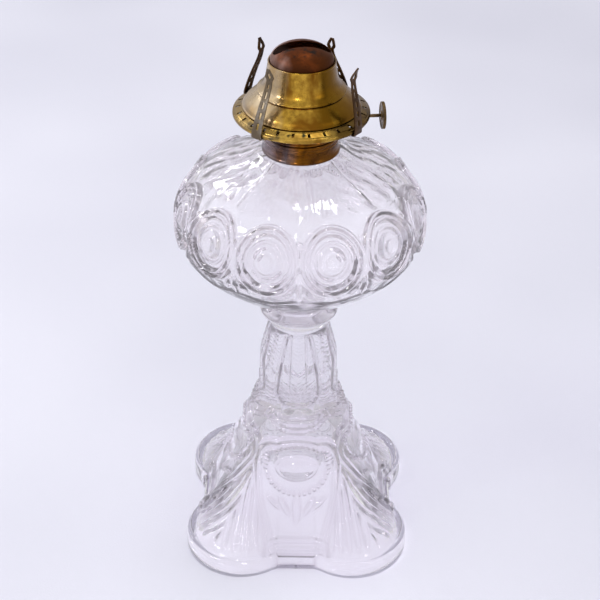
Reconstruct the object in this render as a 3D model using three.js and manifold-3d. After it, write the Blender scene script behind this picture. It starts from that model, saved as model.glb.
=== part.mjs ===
// A pressed-glass oil lamp with a flat-wick brass burner.
// Millimetres, +Z up, origin under the middle of the foot. The lamp's front faces -Y.
// From the floor up: a square lobed foot and eight-sided stem in one piece of glass, a
// round reservoir with twelve bull's-eyes, a cemented brass collar, and a screw-in burner
// with a wick wheel and four spring prongs for a glass chimney.
import * as THREE from 'three';
import { mergeVertices } from 'three/addons/utils/BufferGeometryUtils.js';
import Module from 'manifold-3d';

const wasm = await Module();
wasm.setup();

// Clearances and cutters
const gap = 0.3; // between pieces that rest on or run against each other
const overrun = 2; // how far a cutter passes the face that it cuts
const turnSides = 28; // facets round a turned sheet-metal piece
const glassSides = 36; // facets round the reservoir
const footSides = 48; // facets round the foot and stem

// Foot and stem
const footHalfWidth = 73.6;
const lobeRadius = 36.8;
const notchDepth = 7.5; // how far the middle of each side stands back from its lobes
const notchFillet = 8; // hollow corner between a lobe and the middle of a side
const rimHeight = 11.5;
const rimWidth = 5.2;
const rimBevel = 1;
const rimGroove = 1.2; // depth of the groove inside the rim
const footWall = 7; // glass between the foot's top face and its hollow underside
const footShoulder = 98; // height where the foot runs into the stem
const stemRadius = 25.2; // to a flat of the stem, at its widest
const neckRadius = 18.4;
const neckHeight = 157;
const discRadius = 24.3;
const discHeight = 166;
const standHeight = 172.7;
const jointRadius = 16.6; // where the reservoir is joined to its stand

// Reservoir
const reservoirRadius = 73.2;
const reservoirHeight = 105.2; // from its joint to the collar's seat
const reservoirWall = 4.6;
const mouthRadius = 17.4;
const mouthWall = 2.4;
const mouthHeight = 8.2;
const eyeCount = 12;
const eyeWidth = 35.4; // across the outer ring of a bull's-eye
const eyeHeight = 46; // the same ring, measured up the glass
const eyeRib = 1.7; // half the thickness of the ring
const knobRadius = 6.2;
const knobRise = 2.6;
const eyeTilt = 15; // degrees from the front to the first bull's-eye
const reservoirRows = 12; // rows of facets up the outer face
const hollowRows = 7; // rows of facets up the inner face

// Collar and cement
const sheet = 0.6; // thickness of the burner's sheet brass
const threadRadius = 15.9; // inside the collar: a 1 1/4 in thread
const collarRadius = 22.2;
const collarFlare = 0.7;
const collarBead = 1.6;
const beadShare = 0.5; // of the bead's height that stands straight
const cementCover = 1.8; // cement over the top of the glass mouth

// Burner base
const burnerTurn = 7; // degrees: how far round it was screwed down
const ringLip = 3.6; // width of the screw ring's lip on the collar
const ringDepth = 8.5; // thread below the collar's top
const cupRadius = 21.9;
const cupHeight = 7.5;
const plateDrop = 4.6; // tube plate below the cup's top
const basketRise = 3.2;
const basketRadius = 37.3;
const basketHoles = 12;
const basketHoleRadius = 1.4;
const plateVentRadius = 2.1;
const plateVentTurns = [-60, -20, 20, 60, 120, 160, 200, 240]; // degrees
const brimRadius = 39.6;
const brimRoll = 2.4; // height of the rolled edge
// The rolled edge from its foot to its cone, as shares inwards and upwards of its height
const rollShares = [[0.65, 0], [0.2, 0], [0, 0.3], [0, 0.7], [0.18, 1]];
const brimRise = 3.3; // from the rolled edge to the inner edge
const brimInner = 31.8;
const brimSlots = 26;
const brimSlotLength = 3;
const brimSlotWidth = 1.5;
const brimSlotShare = 0.6; // slots' place between the brim's edge and the skirt

// Draught skirt and flame deflector
const skirtRadius = 34;
const skirtTopRadius = 24.6;
const skirtHeight = 9.4;
const sleeveFootRadius = 25.7;
const sleeveTopRadius = 19.3;
const sleeveHeight = 17.7;
const domeRise = 9.8; // dome above the sleeve's rim
const domeTuck = 6; // dome's skirt inside the sleeve
const flameSlotLength = 33;
const flameSlotWidth = 9;
const domeSteps = 5; // facets up the dome

// Wick and its tube
const wickWidth = 24.4;
const wickThickness = 2;
const wickStandsOut = 1.6; // wick above its tube
const wickHangs = 3.2; // wick below its tube
const wickPlay = 0.4; // each side, between the wick and its tube
const tubeWall = 0.7;
const tubeBelow = 6.7; // tube under the collar's top
const tubeTopDrop = 3.6; // tube's top below the sleeve's rim

// Wick wheels
const shaftRadius = 1;
const shaftUnderRoll = 1.3; // shaft's centre below the rolled edge
const shaftOffset = 4.9; // shaft in front of the wick's middle
const shaftReach = 47.4; // shaft's end from the lamp's middle
const shaftTail = 13.6;
const spurTeeth = 10;
const spurDepth = 0.9;
const spurThickness = 1.6;
const spurSpacing = 14;
const cageHalfWidth = 11.4;
const cageHeight = 8.4;
const thumbRadius = 7.9;
const thumbThickness = 1.7;
const thumbHub = 2.6; // radius of the wheel's boss
const thumbHubLength = 3;
const thumbTeeth = 32;
const thumbKnurl = 0.35;

// Prongs
const prongCount = 4;
const prongThickness = 0.8;
const prongFootWidth = 6;
const prongNeckWidth = 3.2;
const prongHeadWidth = 5.4;
const prongHeight = 38; // above the rolled edge
const prongLean = 9.6; // how far the neck stands in from the foot
const prongTab = 6.4; // tab under the basket
const prongRoom = 0.9; // under the tab, for the prong to give
const rivetTabShare = 0.7; // the rivet's place along the tab, from its outer end
const prongBends = [4, -10, 7, 2]; // degrees bent in, one a prong, from the front left round
const rivetRadius = 1;
const rivetHeadRadius = 2;
const rivetHead = 0.8;
const rivetOverlap = 0.08; // how far a head and its shank run together

// Heights worked out from the sizes above
const reservoirBase = standHeight + gap;
const seatHeight = reservoirBase + reservoirHeight;
const mouthTop = seatHeight + mouthHeight;
const collarTop = mouthTop + gap + cementCover + gap + sheet;
const burnerSeat = collarTop + gap;

// Heights in the burner's own frame, above the collar
const basketFoot = cupHeight + gap;
const rollFoot = basketFoot + basketRise;
const rollTop = rollFoot + brimRoll;
const brimTop = rollTop + brimRise;
const skirtFoot = brimConeHeight(skirtRadius - sheet * 2) + gap;
const skirtTop = skirtFoot + skirtHeight;
const sleeveFoot = skirtTop + gap;
const sleeveTop = sleeveFoot + sleeveHeight;
const tubeTop = sleeveTop - tubeTopDrop;
const shaftHeight = rollFoot - shaftUnderRoll;

const finishes = {
    glass: { color: 0xe9e4ee, roughness: 0.05, metalness: 0 },
    cement: { color: 0xd8d2c4, roughness: 0.95, metalness: 0 },
    bronze: { color: 0x6b4a2f, roughness: 0.45, metalness: 0.9 },
    brass: { color: 0x9c8240, roughness: 0.4, metalness: 0.9 },
    heated: { color: 0x6e3d28, roughness: 0.5, metalness: 0.8 },
    steel: { color: 0x6f6152, roughness: 0.5, metalness: 0.85 },
    cotton: { color: 0xe6dfcf, roughness: 1, metalness: 0 },
};

const radians = (degrees) => THREE.MathUtils.degToRad(degrees);
const at = (x, y) => new THREE.Vector2(x, y);

/** A closed solid for joining and cutting, from a closed geometry. */
function solidOf(geometry) {
    const bare = geometry.clone();
    bare.deleteAttribute('normal');
    bare.deleteAttribute('uv');
    const joined = mergeVertices(bare, 1e-4);
    const mesh = new wasm.Mesh({
        numProp: 3,
        vertProperties: new Float32Array(joined.attributes.position.array),
        triVerts: new Uint32Array(joined.index.array),
    });
    return new wasm.Manifold(mesh);
}

/** The geometry of a joined or cut solid. */
function geometryOf(solid) {
    const mesh = solid.getMesh();
    const geometry = new THREE.BufferGeometry();
    geometry.setAttribute('position', new THREE.BufferAttribute(mesh.vertProperties, 3));
    geometry.setIndex(new THREE.BufferAttribute(mesh.triVerts, 1));
    geometry.computeVertexNormals();
    return geometry;
}

/** A piece with other geometries cut out of it. */
function cut(geometry, cutters) {
    let solid = solidOf(geometry);
    for (const cutter of cutters) {
        solid = solid.subtract(solidOf(cutter));
    }
    return geometryOf(solid);
}

/** A solid turned about Z from an outline of radius and height, ends on the axis or closed. */
function turned(outline, sides = turnSides) {
    const points = outline.slice();
    const onAxis = points[0].x === 0 && points[points.length - 1].x === 0;
    if (THREE.ShapeUtils.isClockWise(points)) {
        points.reverse();
    }
    if (!onAxis) {
        points.push(points[0].clone());
    }
    const geometry = new THREE.LatheGeometry(points, sides);
    geometry.rotateX(Math.PI / 2);
    return geometry;
}

/** A line moved sideways to its left by a distance. */
function shifted(line, distance) {
    return line.map((point, index) => {
        const before = line[Math.max(index - 1, 0)];
        const after = line[Math.min(index + 1, line.length - 1)];
        const along = after.clone().sub(before).normalize();
        return at(point.x - along.y * distance, point.y + along.x * distance);
    });
}

/** The outline of sheet metal whose outer face follows some points, its wall on their left. */
function sheetOutline(face, thickness) {
    return [...face, ...shifted(face, thickness).reverse()];
}

/** Evenly spaced points on a smooth curve through a few given ones. */
function smooth(points, count) {
    return new THREE.SplineCurve(points).getSpacedPoints(count);
}

/** A round bar along a direction, centred on a place. */
function bar(radius, length, direction, centre, sides = 12) {
    const geometry = new THREE.CylinderGeometry(radius, radius, length, sides);
    const turn = new THREE.Quaternion().setFromUnitVectors(new THREE.Vector3(0, 1, 0), direction);
    geometry.applyQuaternion(turn);
    geometry.translate(centre.x, centre.y, centre.z);
    return geometry;
}

/** A block between two corners. */
function block(low, high) {
    const size = high.map((value, index) => value - low[index]);
    const geometry = new THREE.BoxGeometry(...size);
    geometry.translate(...low.map((value, index) => value + size[index] / 2));
    return geometry;
}

/** A named piece with its finish. */
function piece(name, geometry, finish) {
    const mesh = new THREE.Mesh(geometry, new THREE.MeshStandardMaterial(finish));
    mesh.name = name;
    return mesh;
}

/** Distance from the middle to the foot's outline, at an angle from the middle of a side. */
function footReach(angle) {
    const side = footHalfWidth - notchDepth;
    const centre = footHalfWidth - lobeRadius;
    const turn = Math.abs(((angle % (Math.PI / 2)) + Math.PI / 2) % (Math.PI / 2));
    const local = Math.min(turn, Math.PI / 2 - turn);
    const filletEdge = side + notchFillet;
    const filletAcross = centre - Math.sqrt(
        (lobeRadius + notchFillet) ** 2 - (filletEdge - centre) ** 2);
    const touchShare = lobeRadius / (lobeRadius + notchFillet);
    const touchAcross = centre + (filletAcross - centre) * touchShare;
    const touchOut = centre + (filletEdge - centre) * touchShare;
    if (Math.tan(local) <= filletAcross / side) {
        return side / Math.cos(local);
    }
    if (local <= Math.atan2(touchAcross, touchOut)) {
        const along = filletEdge * Math.cos(local) + filletAcross * Math.sin(local);
        const reach = filletEdge ** 2 + filletAcross ** 2 - notchFillet ** 2;
        return along - Math.sqrt(Math.max(along ** 2 - reach, 0));
    }
    const along = centre * (Math.cos(local) + Math.sin(local));
    return along + Math.sqrt(along ** 2 - 2 * centre ** 2 + lobeRadius ** 2);
}

/** How far out of the eight-sided flats a corner of the stem lies, as a share of its radius. */
function stemFlatShare(angle) {
    const eighth = Math.PI / 4;
    const local = ((angle % eighth) + eighth) % eighth - eighth / 2;
    return Math.cos(eighth / 2) / Math.cos(eighth / 2 - Math.abs(local)) / Math.cos(eighth / 2);
}

// The foot's top face up to the stem, as shares of its climb, of its width at the middle of
// a side and at a corner, and the corner ridge as a share of the stem's radius
const footShares = [
    [0.03, 0.97, 0.9, 0.12], [0.11, 0.86, 0.7, 0.11], [0.22, 0.75, 0.5, 0.09],
    [0.38, 0.6, 0.33, 0.08], [0.56, 0.43, 0.2, 0.05], [0.74, 0.26, 0.1, 0.03],
    [0.9, 0.09, 0.03, 0.01], [1, 0, 0, 0],
];
// The stem above it, as shares of its climb and swell, and how far it is eight-sided
const stemShares = [[0.3, 1, 0.85], [0.62, 0.97, 0.69], [0.82, 0.6, 0.59], [1, 0, 0.5]];
// The hollow underside, as shares of its climb, how far it is eight-sided, and shares of its
// width at the middle of a side and of its reach into the corners
const hollowShares = [
    [0, 0, 1, 1], [0.1, 0, 0.93, 0.9], [0.3, 0.1, 0.8, 0.62],
    [0.55, 0.3, 0.6, 0.4], [0.8, 0.6, 0.36, 0.22], [0.95, 0.9, 0.14, 0.09],
];

/** The foot and stem: a turned blank pressed out to its lobes below and eight flats above. */
function standGeometry() {
    const side = footHalfWidth - notchDepth;
    const corner = footReach(Math.PI / 4);
    const panelFoot = side - rimWidth - rimGroove;
    const panelRise = footShoulder - rimHeight;
    // Each row holds the radius at a face, the radius at a corner, the height,
    // and how far the section is eight-sided.
    const outer = [
        [side - rimBevel, corner - rimBevel, 0, 0],
        [side, corner, rimBevel, 0],
        [side, corner, rimHeight - rimBevel, 0],
        [side - rimBevel, corner - rimBevel, rimHeight, 0],
        [side - rimWidth, corner - rimWidth, rimHeight, 0],
        [panelFoot, corner - rimWidth - rimGroove, rimHeight - rimGroove, 0],
    ];
    const ridgeSpan = corner - rimWidth - rimGroove - stemRadius;
    for (const [climb, face, reach, ridge] of footShares) {
        outer.push([
            stemRadius + (panelFoot - stemRadius) * face,
            stemRadius * (1 + ridge) + ridgeSpan * reach,
            rimHeight + panelRise * climb,
            climb,
        ]);
    }
    const stemRise = neckHeight - footShoulder;
    for (const [climb, width, flats] of stemShares) {
        const radius = neckRadius + (stemRadius - neckRadius) * width;
        outer.push([radius, radius, footShoulder + stemRise * climb, flats]);
    }
    outer.push([discRadius, discRadius, discHeight, 0]);
    outer.push([discRadius, discRadius, discHeight + rimBevel, 0]);
    outer.push([jointRadius, jointRadius, standHeight, 0]);
    outer.push([0, 0, standHeight, 0]);
    // The hollow underside keeps the wall's thickness and closes below the stem
    const hollowTop = footShoulder - footWall / 2;
    const hollowSide = side - footWall;
    const hollowCorner = corner - footWall;
    const inner = hollowShares.map(([climb, flats, face, reach]) => [
        hollowSide * face,
        hollowSide * face * (1 - reach) + hollowCorner * face * reach,
        hollowTop * climb,
        flats,
    ]);
    const rows = [[0, 0, hollowTop, 0], ...inner.reverse(), ...outer];
    const points = rows.map(([face, , height]) => at(face, height));
    const geometry = new THREE.LatheGeometry(points, footSides);
    const position = geometry.attributes.position;
    const reachSpan = corner - side;
    for (let index = 0; index < position.count; index += 1) {
        const row = rows[index % points.length];
        const [face, reach, , flats] = row;
        const angle = Math.floor(index / points.length) / footSides * Math.PI * 2;
        const lobeShare = (footReach(angle) - side) / reachSpan;
        const flatShare = 1 + (stemFlatShare(angle) - 1) * flats;
        const radius = face * flatShare + (reach - face) * lobeShare;
        position.setX(index, radius * Math.sin(angle));
        position.setZ(index, radius * Math.cos(angle));
    }
    geometry.rotateX(Math.PI / 2);
    return geometry;
}

// The reservoir's outer face from its joint to the collar's seat, as shares of radius and height
const reservoirShares = [
    [0.26, 0.02], [0.41, 0.085], [0.58, 0.165], [0.76, 0.26], [0.92, 0.365], [0.99, 0.475],
    [1, 0.59], [0.965, 0.7], [0.88, 0.79], [0.75, 0.86], [0.6, 0.91], [0.45, 0.95], [0.33, 1],
];
const reservoirFace = new THREE.SplineCurve(reservoirShares.map(([radius, height]) => at(
    radius * reservoirRadius, reservoirBase + height * reservoirHeight)));
const eyePlaceShare = 0.618; // bull's-eye centres, as a share of the way up the outer face

/** The glass reservoir, with its mouth, its bull's-eye rings and their knobs. */
function reservoirGeometry() {
    const face = reservoirFace.getSpacedPoints(reservoirRows);
    const outline = [at(jointRadius, reservoirBase), ...face];
    outline.push(at(mouthRadius + mouthWall, seatHeight));
    outline.push(at(mouthRadius + mouthWall, mouthTop));
    outline.push(at(mouthRadius, mouthTop));
    const inner = [];
    for (let index = 0; index <= hollowRows; index += 1) {
        const share = index / hollowRows;
        const point = reservoirFace.getPointAt(share);
        const along = reservoirFace.getTangentAt(share);
        inner.push(at(point.x - along.y * reservoirWall, point.y + along.x * reservoirWall));
    }
    outline.push(at(mouthRadius, inner[hollowRows].y + mouthWall / 2));
    outline.push(...inner.reverse());
    const floor = outline[outline.length - 1].y;
    outline.push(at(0, floor));
    outline.unshift(at(0, reservoirBase));
    let solid = solidOf(turned(outline, glassSides));
    for (let index = 0; index < eyeCount; index += 1) {
        const turn = radians(eyeTilt) + index / eyeCount * Math.PI * 2;
        solid = solid.add(solidOf(onReservoir(eyeRing(), turn)));
        solid = solid.add(solidOf(onReservoir(eyeKnob(), turn)));
    }
    return geometryOf(solid);
}

/** A flat bull's-eye ring: X across, Y up, Z out of the glass. */
function eyeRing() {
    const ring = new THREE.TorusGeometry(eyeWidth / 2 - eyeRib, eyeRib, 4, 10);
    ring.scale(1, eyeHeight / eyeWidth, 1);
    return ring;
}

/** The domed knob in the middle of a bull's-eye, in the ring's frame. */
function eyeKnob() {
    const knob = new THREE.SphereGeometry(knobRadius, 6, 4);
    knob.scale(1, 1, knobRise / knobRadius);
    return knob;
}

/** Lays a flat ornament on the reservoir's outer face, at a turn from the front. */
function onReservoir(geometry, turn) {
    const length = reservoirFace.getLength();
    const position = geometry.attributes.position;
    const girth = reservoirFace.getPointAt(eyePlaceShare).x;
    for (let index = 0; index < position.count; index += 1) {
        const share = eyePlaceShare + position.getY(index) / length;
        const point = reservoirFace.getPointAt(share);
        const along = reservoirFace.getTangentAt(share);
        const rise = position.getZ(index);
        const radius = point.x + along.y * rise;
        const angle = turn + position.getX(index) / girth;
        position.setXYZ(index, radius * Math.sin(angle), -radius * Math.cos(angle),
            point.y - along.x * rise);
    }
    return geometry;
}

/** The cement between the glass mouth and the collar. */
function cementGeometry() {
    const outer = collarRadius - sheet - gap;
    const inner = threadRadius + sheet + gap;
    const neck = mouthRadius + mouthWall + gap;
    const foot = seatHeight + gap;
    const top = mouthTop + gap;
    return turned([
        at(neck, foot), at(outer, foot), at(outer, top + cementCover),
        at(inner, top + cementCover), at(inner, top), at(neck, top),
    ]);
}

/** The brass collar: an outer skirt, a top and the tube that is threaded inside. */
function collarGeometry() {
    const foot = seatHeight + gap;
    const bead = collarRadius + collarFlare;
    const inside = collarRadius - sheet;
    const tube = threadRadius + sheet;
    return turned([
        at(bead - sheet, foot), at(bead, foot), at(bead, foot + collarBead * beadShare),
        at(collarRadius, foot + collarBead), at(collarRadius, collarTop - sheet),
        at(collarRadius - sheet, collarTop), at(threadRadius, collarTop),
        at(threadRadius, foot + collarBead), at(tube, foot + collarBead),
        at(tube, collarTop - sheet), at(inside, collarTop - sheet), at(inside, foot + collarBead),
    ]);
}

/** The screw ring that holds the burner in the collar. */
function screwRingGeometry() {
    const outer = threadRadius - gap;
    const inner = outer - sheet * 2;
    const lip = outer + ringLip;
    return turned([
        at(inner, -ringDepth), at(outer, -ringDepth), at(outer, 0),
        at(lip, 0), at(lip, sheet), at(inner, sheet),
    ]);
}

/** The plain cup that stands on the collar. */
function cupGeometry() {
    const inside = cupRadius - sheet;
    const floor = sheet + gap;
    return turned([
        at(cupRadius - sheet, 0), at(cupRadius, 0), at(cupRadius, cupHeight),
        at(inside, cupHeight), at(inside, floor + sheet), at(threadRadius - sheet, floor + sheet),
        at(threadRadius - sheet, floor), at(inside, floor),
    ]);
}

/** The plate that carries the wick tube across the cup. */
function tubePlateGeometry() {
    const foot = cupHeight - plateDrop;
    const radius = cupRadius - sheet - gap;
    const [halfWidth, halfDepth] = tubeHalfSizes();
    const plate = turned([
        at(0, foot), at(radius, foot), at(radius, foot + sheet), at(0, foot + sheet),
    ]);
    const window = block(
        [-halfWidth - gap, -halfDepth - gap, foot - overrun],
        [halfWidth + gap, halfDepth + gap, foot + overrun]);
    const vents = [];
    const ventReach = (radius + halfDepth) / 2;
    for (const turn of plateVentTurns) {
        const angle = radians(turn);
        const centre = new THREE.Vector3(
            ventReach * Math.sin(angle), -ventReach * Math.cos(angle), foot);
        vents.push(bar(plateVentRadius, overrun * 2, new THREE.Vector3(0, 0, 1), centre, 8));
    }
    return cut(plate, [window, ...vents]);
}

/** Half the outer width and depth of the wick tube. */
function tubeHalfSizes() {
    const around = wickPlay + tubeWall;
    return [wickWidth / 2 + around, wickThickness / 2 + around];
}

/** The pierced basket that lets air in under the brim. */
function basketGeometry() {
    const inner = cupRadius - sheet * 2;
    const bend = cupRadius + sheet;
    const face = [at(inner, basketFoot), at(bend, basketFoot), at(basketRadius, rollFoot - gap)];
    const basket = turned(sheetOutline(face, sheet));
    const cutters = [];
    const reach = (basketRadius + bend) / 2;
    const height = basketUnderside(reach);
    for (let index = 0; index < basketHoles; index += 1) {
        const angle = (index + 0.5) / basketHoles * Math.PI * 2;
        const centre = new THREE.Vector3(reach * Math.sin(angle), -reach * Math.cos(angle), height);
        cutters.push(bar(basketHoleRadius, overrun * 2, new THREE.Vector3(0, 0, 1), centre, 6));
    }
    const shaftRun = shaftReach - cupRadius;
    const shaftMiddle = new THREE.Vector3(cupRadius + shaftRun / 2, -shaftOffset, shaftHeight);
    cutters.push(bar(shaftRadius + gap * 2, shaftRun, new THREE.Vector3(1, 0, 0), shaftMiddle));
    for (let index = 0; index < prongCount; index += 1) {
        cutters.push(rivetHole(index));
    }
    return cut(basket, cutters);
}

/** The slope of the basket, which the prongs' tabs and rivets follow. */
function basketSlope() {
    return Math.atan2(rollFoot - gap - basketFoot, basketRadius - cupRadius - sheet);
}

/** The underside of the basket at a radius. */
function basketUnderside(radius) {
    return rollFoot - gap - (basketRadius - radius) * Math.tan(basketSlope());
}

/** The radius where the brim's cone leaves its rolled edge. */
function brimConeFoot() {
    const [inward] = rollShares[rollShares.length - 1];
    return brimRadius - brimRoll * inward;
}

/** The brim's top face at a radius. */
function brimConeHeight(radius) {
    return brimTop - (radius - brimInner) / (brimConeFoot() - brimInner) * brimRise;
}

/** The sloping brim that the chimney stands on, with its rolled edge and air slots. */
function brimGeometry() {
    const face = rollShares.map(([inward, climb]) => at(
        brimRadius - brimRoll * inward, rollFoot + brimRoll * climb));
    face.push(at(brimInner, brimTop));
    const brim = turned(sheetOutline(face, sheet));
    const cutters = [];
    const slope = Math.atan2(brimRise, brimConeFoot() - brimInner);
    const reach = brimRadius - (brimRadius - skirtRadius) * brimSlotShare;
    const height = brimConeHeight(reach);
    for (let index = 0; index < brimSlots; index += 1) {
        const slot = new THREE.BoxGeometry(brimSlotWidth, brimSlotLength, overrun * 2);
        slot.rotateX(slope);
        slot.translate(0, -reach, height);
        slot.rotateZ(index / brimSlots * Math.PI * 2);
        cutters.push(slot);
    }
    return cut(brim, cutters);
}

/** The plain draught skirt between the brim and the deflector. */
function skirtGeometry() {
    const span = skirtRadius - skirtTopRadius;
    const skirtShares = [[1, 0], [0.98, 0.1], [0.78, 0.35], [0.5, 0.6], [0.22, 0.85], [0, 1]];
    const face = skirtShares.map(([width, climb]) => at(
        skirtTopRadius + span * width, skirtFoot + skirtHeight * climb));
    return turned(sheetOutline(face, sheet));
}

/** The deflector's sleeve, flared at its foot and beaded at its rim. */
function sleeveGeometry() {
    const span = sleeveFootRadius - sleeveTopRadius;
    const sleeveShares = [
        [1, 0], [0.98, 0.05], [0.8, 0.1], [0.5, 0.2], [0.22, 0.42], [0, 0.95], [0.04, 1],
    ];
    const face = sleeveShares.map(([width, climb]) => at(
        sleeveTopRadius + span * width, sleeveFoot + sleeveHeight * climb));
    return turned(sheetOutline(face, sheet));
}

/** Half the outline of a dome from its foot up to the axis. */
function domeLine(radius, rise, foot) {
    const line = [at(radius, foot)];
    for (let index = 0; index < domeSteps; index += 1) {
        const angle = index / domeSteps * Math.PI / 2;
        line.push(at(radius * Math.cos(angle), sleeveTop + rise * Math.sin(angle)));
    }
    line.push(at(0, sleeveTop + rise));
    return line;
}

/** The domed deflector with its flame slot, tucked into the sleeve. */
function domeGeometry() {
    const rim = sleeveTopRadius - sheet - gap * 2;
    const foot = sleeveTop - domeTuck;
    const outside = domeLine(rim, domeRise, foot);
    const inside = domeLine(rim - sheet, domeRise - sheet, foot);
    const dome = turned([...outside.reverse(), ...inside]);
    const slot = new THREE.Shape();
    const halfLength = (flameSlotLength - flameSlotWidth) / 2;
    const radius = flameSlotWidth / 2;
    slot.absarc(halfLength, 0, radius, -Math.PI / 2, Math.PI / 2);
    slot.absarc(-halfLength, 0, radius, Math.PI / 2, Math.PI * 1.5);
    const cutter = new THREE.ExtrudeGeometry(slot, {
        depth: domeRise + overrun, bevelEnabled: false, curveSegments: 4,
    });
    cutter.translate(0, 0, sleeveTop + gap);
    return cut(dome, [cutter]);
}

/** The flat wick tube, open at both ends, with a window for each wick wheel. */
function tubeGeometry() {
    const [halfWidth, halfDepth] = tubeHalfSizes();
    const foot = -tubeBelow;
    const outer = block([-halfWidth, -halfDepth, foot], [halfWidth, halfDepth, tubeTop]);
    const bore = block(
        [-halfWidth + tubeWall, -halfDepth + tubeWall, foot - overrun],
        [halfWidth - tubeWall, halfDepth - tubeWall, tubeTop + overrun]);
    const windowHalf = spurRadius();
    const windows = [-1, 1].map((side) => block(
        [side * spurSpacing / 2 - spurThickness, -halfDepth - overrun, shaftHeight - windowHalf],
        [side * spurSpacing / 2 + spurThickness, 0, shaftHeight + windowHalf]));
    return cut(outer, [bore, ...windows]);
}

/** Outer radius of a wick wheel, which runs against the wick's front face. */
function spurRadius() {
    return shaftOffset - wickThickness / 2 - gap;
}

/** The wick itself. */
function wickGeometry() {
    return block(
        [-wickWidth / 2, -wickThickness / 2, -tubeBelow - wickHangs],
        [wickWidth / 2, wickThickness / 2, tubeTop + wickStandsOut]);
}

/** The cage on the tube's front that carries the wick shaft. */
function cageGeometry() {
    const [, halfDepth] = tubeHalfSizes();
    const back = -halfDepth - gap;
    const wall = tubeWall + gap;
    const front = -shaftOffset - spurRadius() - gap - wall;
    const low = shaftHeight - cageHeight / 2;
    const high = shaftHeight + cageHeight / 2;
    const outer = block([-cageHalfWidth - wall, front, low], [cageHalfWidth + wall, back, high]);
    const inside = block(
        [-cageHalfWidth, front + wall, low - overrun], [cageHalfWidth, back + overrun, high + overrun]);
    const hole = bar(shaftRadius + gap, cageHalfWidth * 2 + overrun * 4, new THREE.Vector3(1, 0, 0),
        new THREE.Vector3(0, -shaftOffset, shaftHeight));
    return cut(outer, [inside, hole]);
}

/** The shaft that carries the wick wheels and the thumbwheel. */
function shaftGeometry() {
    const length = shaftReach + shaftTail;
    const middle = new THREE.Vector3((shaftReach - shaftTail) / 2, -shaftOffset, shaftHeight);
    return bar(shaftRadius, length, new THREE.Vector3(1, 0, 0), middle);
}

/** A toothed disc on the shaft's axis, from an outline turned to face along X. */
function shaftDisc(outline, thickness, place) {
    const bore = new THREE.Path();
    bore.absarc(0, 0, shaftRadius + gap, 0, Math.PI * 2);
    outline.holes.push(bore);
    const disc = new THREE.ExtrudeGeometry(outline, {
        depth: thickness, bevelEnabled: false, curveSegments: 6,
    });
    disc.rotateY(Math.PI / 2);
    disc.translate(place - thickness / 2, -shaftOffset, shaftHeight);
    return disc;
}

/** The outline of a wheel whose rim steps in and out once a tooth. */
function toothedShape(radius, depth, teeth) {
    const points = [];
    for (let index = 0; index < teeth * 2; index += 1) {
        const angle = index / teeth * Math.PI;
        const reach = index % 2 === 0 ? radius : radius - depth;
        points.push(at(reach * Math.cos(angle), reach * Math.sin(angle)));
    }
    return new THREE.Shape(points);
}

/** One of the two wick wheels. */
function spurGeometry(side) {
    const outline = toothedShape(spurRadius(), spurDepth, spurTeeth);
    return shaftDisc(outline, spurThickness, side * spurSpacing / 2);
}

/** The knurled thumbwheel with its boss. */
function thumbwheelGeometry() {
    const place = shaftReach - thumbThickness / 2;
    const disc = shaftDisc(toothedShape(thumbRadius, thumbKnurl, thumbTeeth), thumbThickness, place);
    const boss = new THREE.Shape();
    boss.absarc(0, 0, thumbHub, 0, Math.PI * 2);
    const hub = shaftDisc(boss, thumbHubLength, shaftReach - thumbHubLength / 2);
    return geometryOf(solidOf(disc).add(solidOf(hub)));
}

// A prong's arm, as shares of its lean inwards and of its height above the rolled edge
const armShares = [
    [0.02, 0.08], [0.2, 0.24], [0.52, 0.46], [0.82, 0.64], [0.99, 0.78], [0.98, 0.88], [0.84, 1],
];
const prongSteps = 12; // facets up the arm
// The strip's slots, as shares of the height from and to, and half of the slot's width
const stripShares = [[0.14, 0.26, 0.34], [0.32, 0.44, 0.3], [0.5, 0.6, 0.26], [0.66, 0.74, 0.22]];
// The strip's outline, as half widths and shares of the height, and the head's pierced diamond
const stripEdges = [
    [prongFootWidth / 2, -0.3], [prongFootWidth / 2, 0.1], [prongNeckWidth / 2, 0.7],
    [prongNeckWidth / 2, 0.8], [prongHeadWidth / 2, 0.85], [prongNeckWidth / 2, 0.93],
    [prongNeckWidth / 4, 1.02],
];
const diamondShares = [[0, 0.82], [0.22, 0.87], [0, 0.94], [-0.22, 0.87]];

/** The middle line of a prong, from its tab up to its tip, as radius and height. */
function prongLine(bend) {
    const slope = basketSlope();
    const drop = (gap + prongThickness / 2) / Math.cos(slope);
    const tabEnd = basketRadius - prongTab;
    const clear = brimRadius + gap + prongThickness / 2;
    const shank = [
        at(tabEnd, basketUnderside(tabEnd) - drop),
        at(basketRadius, rollFoot - gap - drop),
        at(clear - prongThickness / 2, rollFoot - gap - drop / 2),
        at(clear, rollFoot + brimRoll / 2),
    ];
    const turn = radians(bend);
    const arm = armShares.map(([lean, climb]) => {
        const inward = lean * prongLean;
        const rise = climb * prongHeight - brimRoll / 2;
        return at(
            clear - inward * Math.cos(turn) - rise * Math.sin(turn),
            rollFoot + brimRoll / 2 + rise * Math.cos(turn) - inward * Math.sin(turn));
    });
    return [...shank, ...smooth([shank[shank.length - 1], ...arm], prongSteps).slice(1)];
}

/** The prong's face, seen from outside: a strip that narrows to a pierced, eared head. */
function prongFace(height) {
    const right = stripEdges.map(([half, climb]) => at(half, climb * height));
    const left = right.map((point) => at(-point.x, point.y)).reverse();
    const shape = new THREE.Shape([...right, ...left]);
    for (const [from, to, width] of stripShares) {
        const half = prongNeckWidth * width;
        const low = from * height;
        const high = to * height;
        const slot = [at(-half, low), at(half, low), at(half, high), at(-half, high)];
        shape.holes.push(new THREE.Path(slot));
    }
    const diamond = diamondShares.map(([across, climb]) => at(
        across * prongHeadWidth, climb * height));
    shape.holes.push(new THREE.Path(diamond));
    return shape;
}

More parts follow.
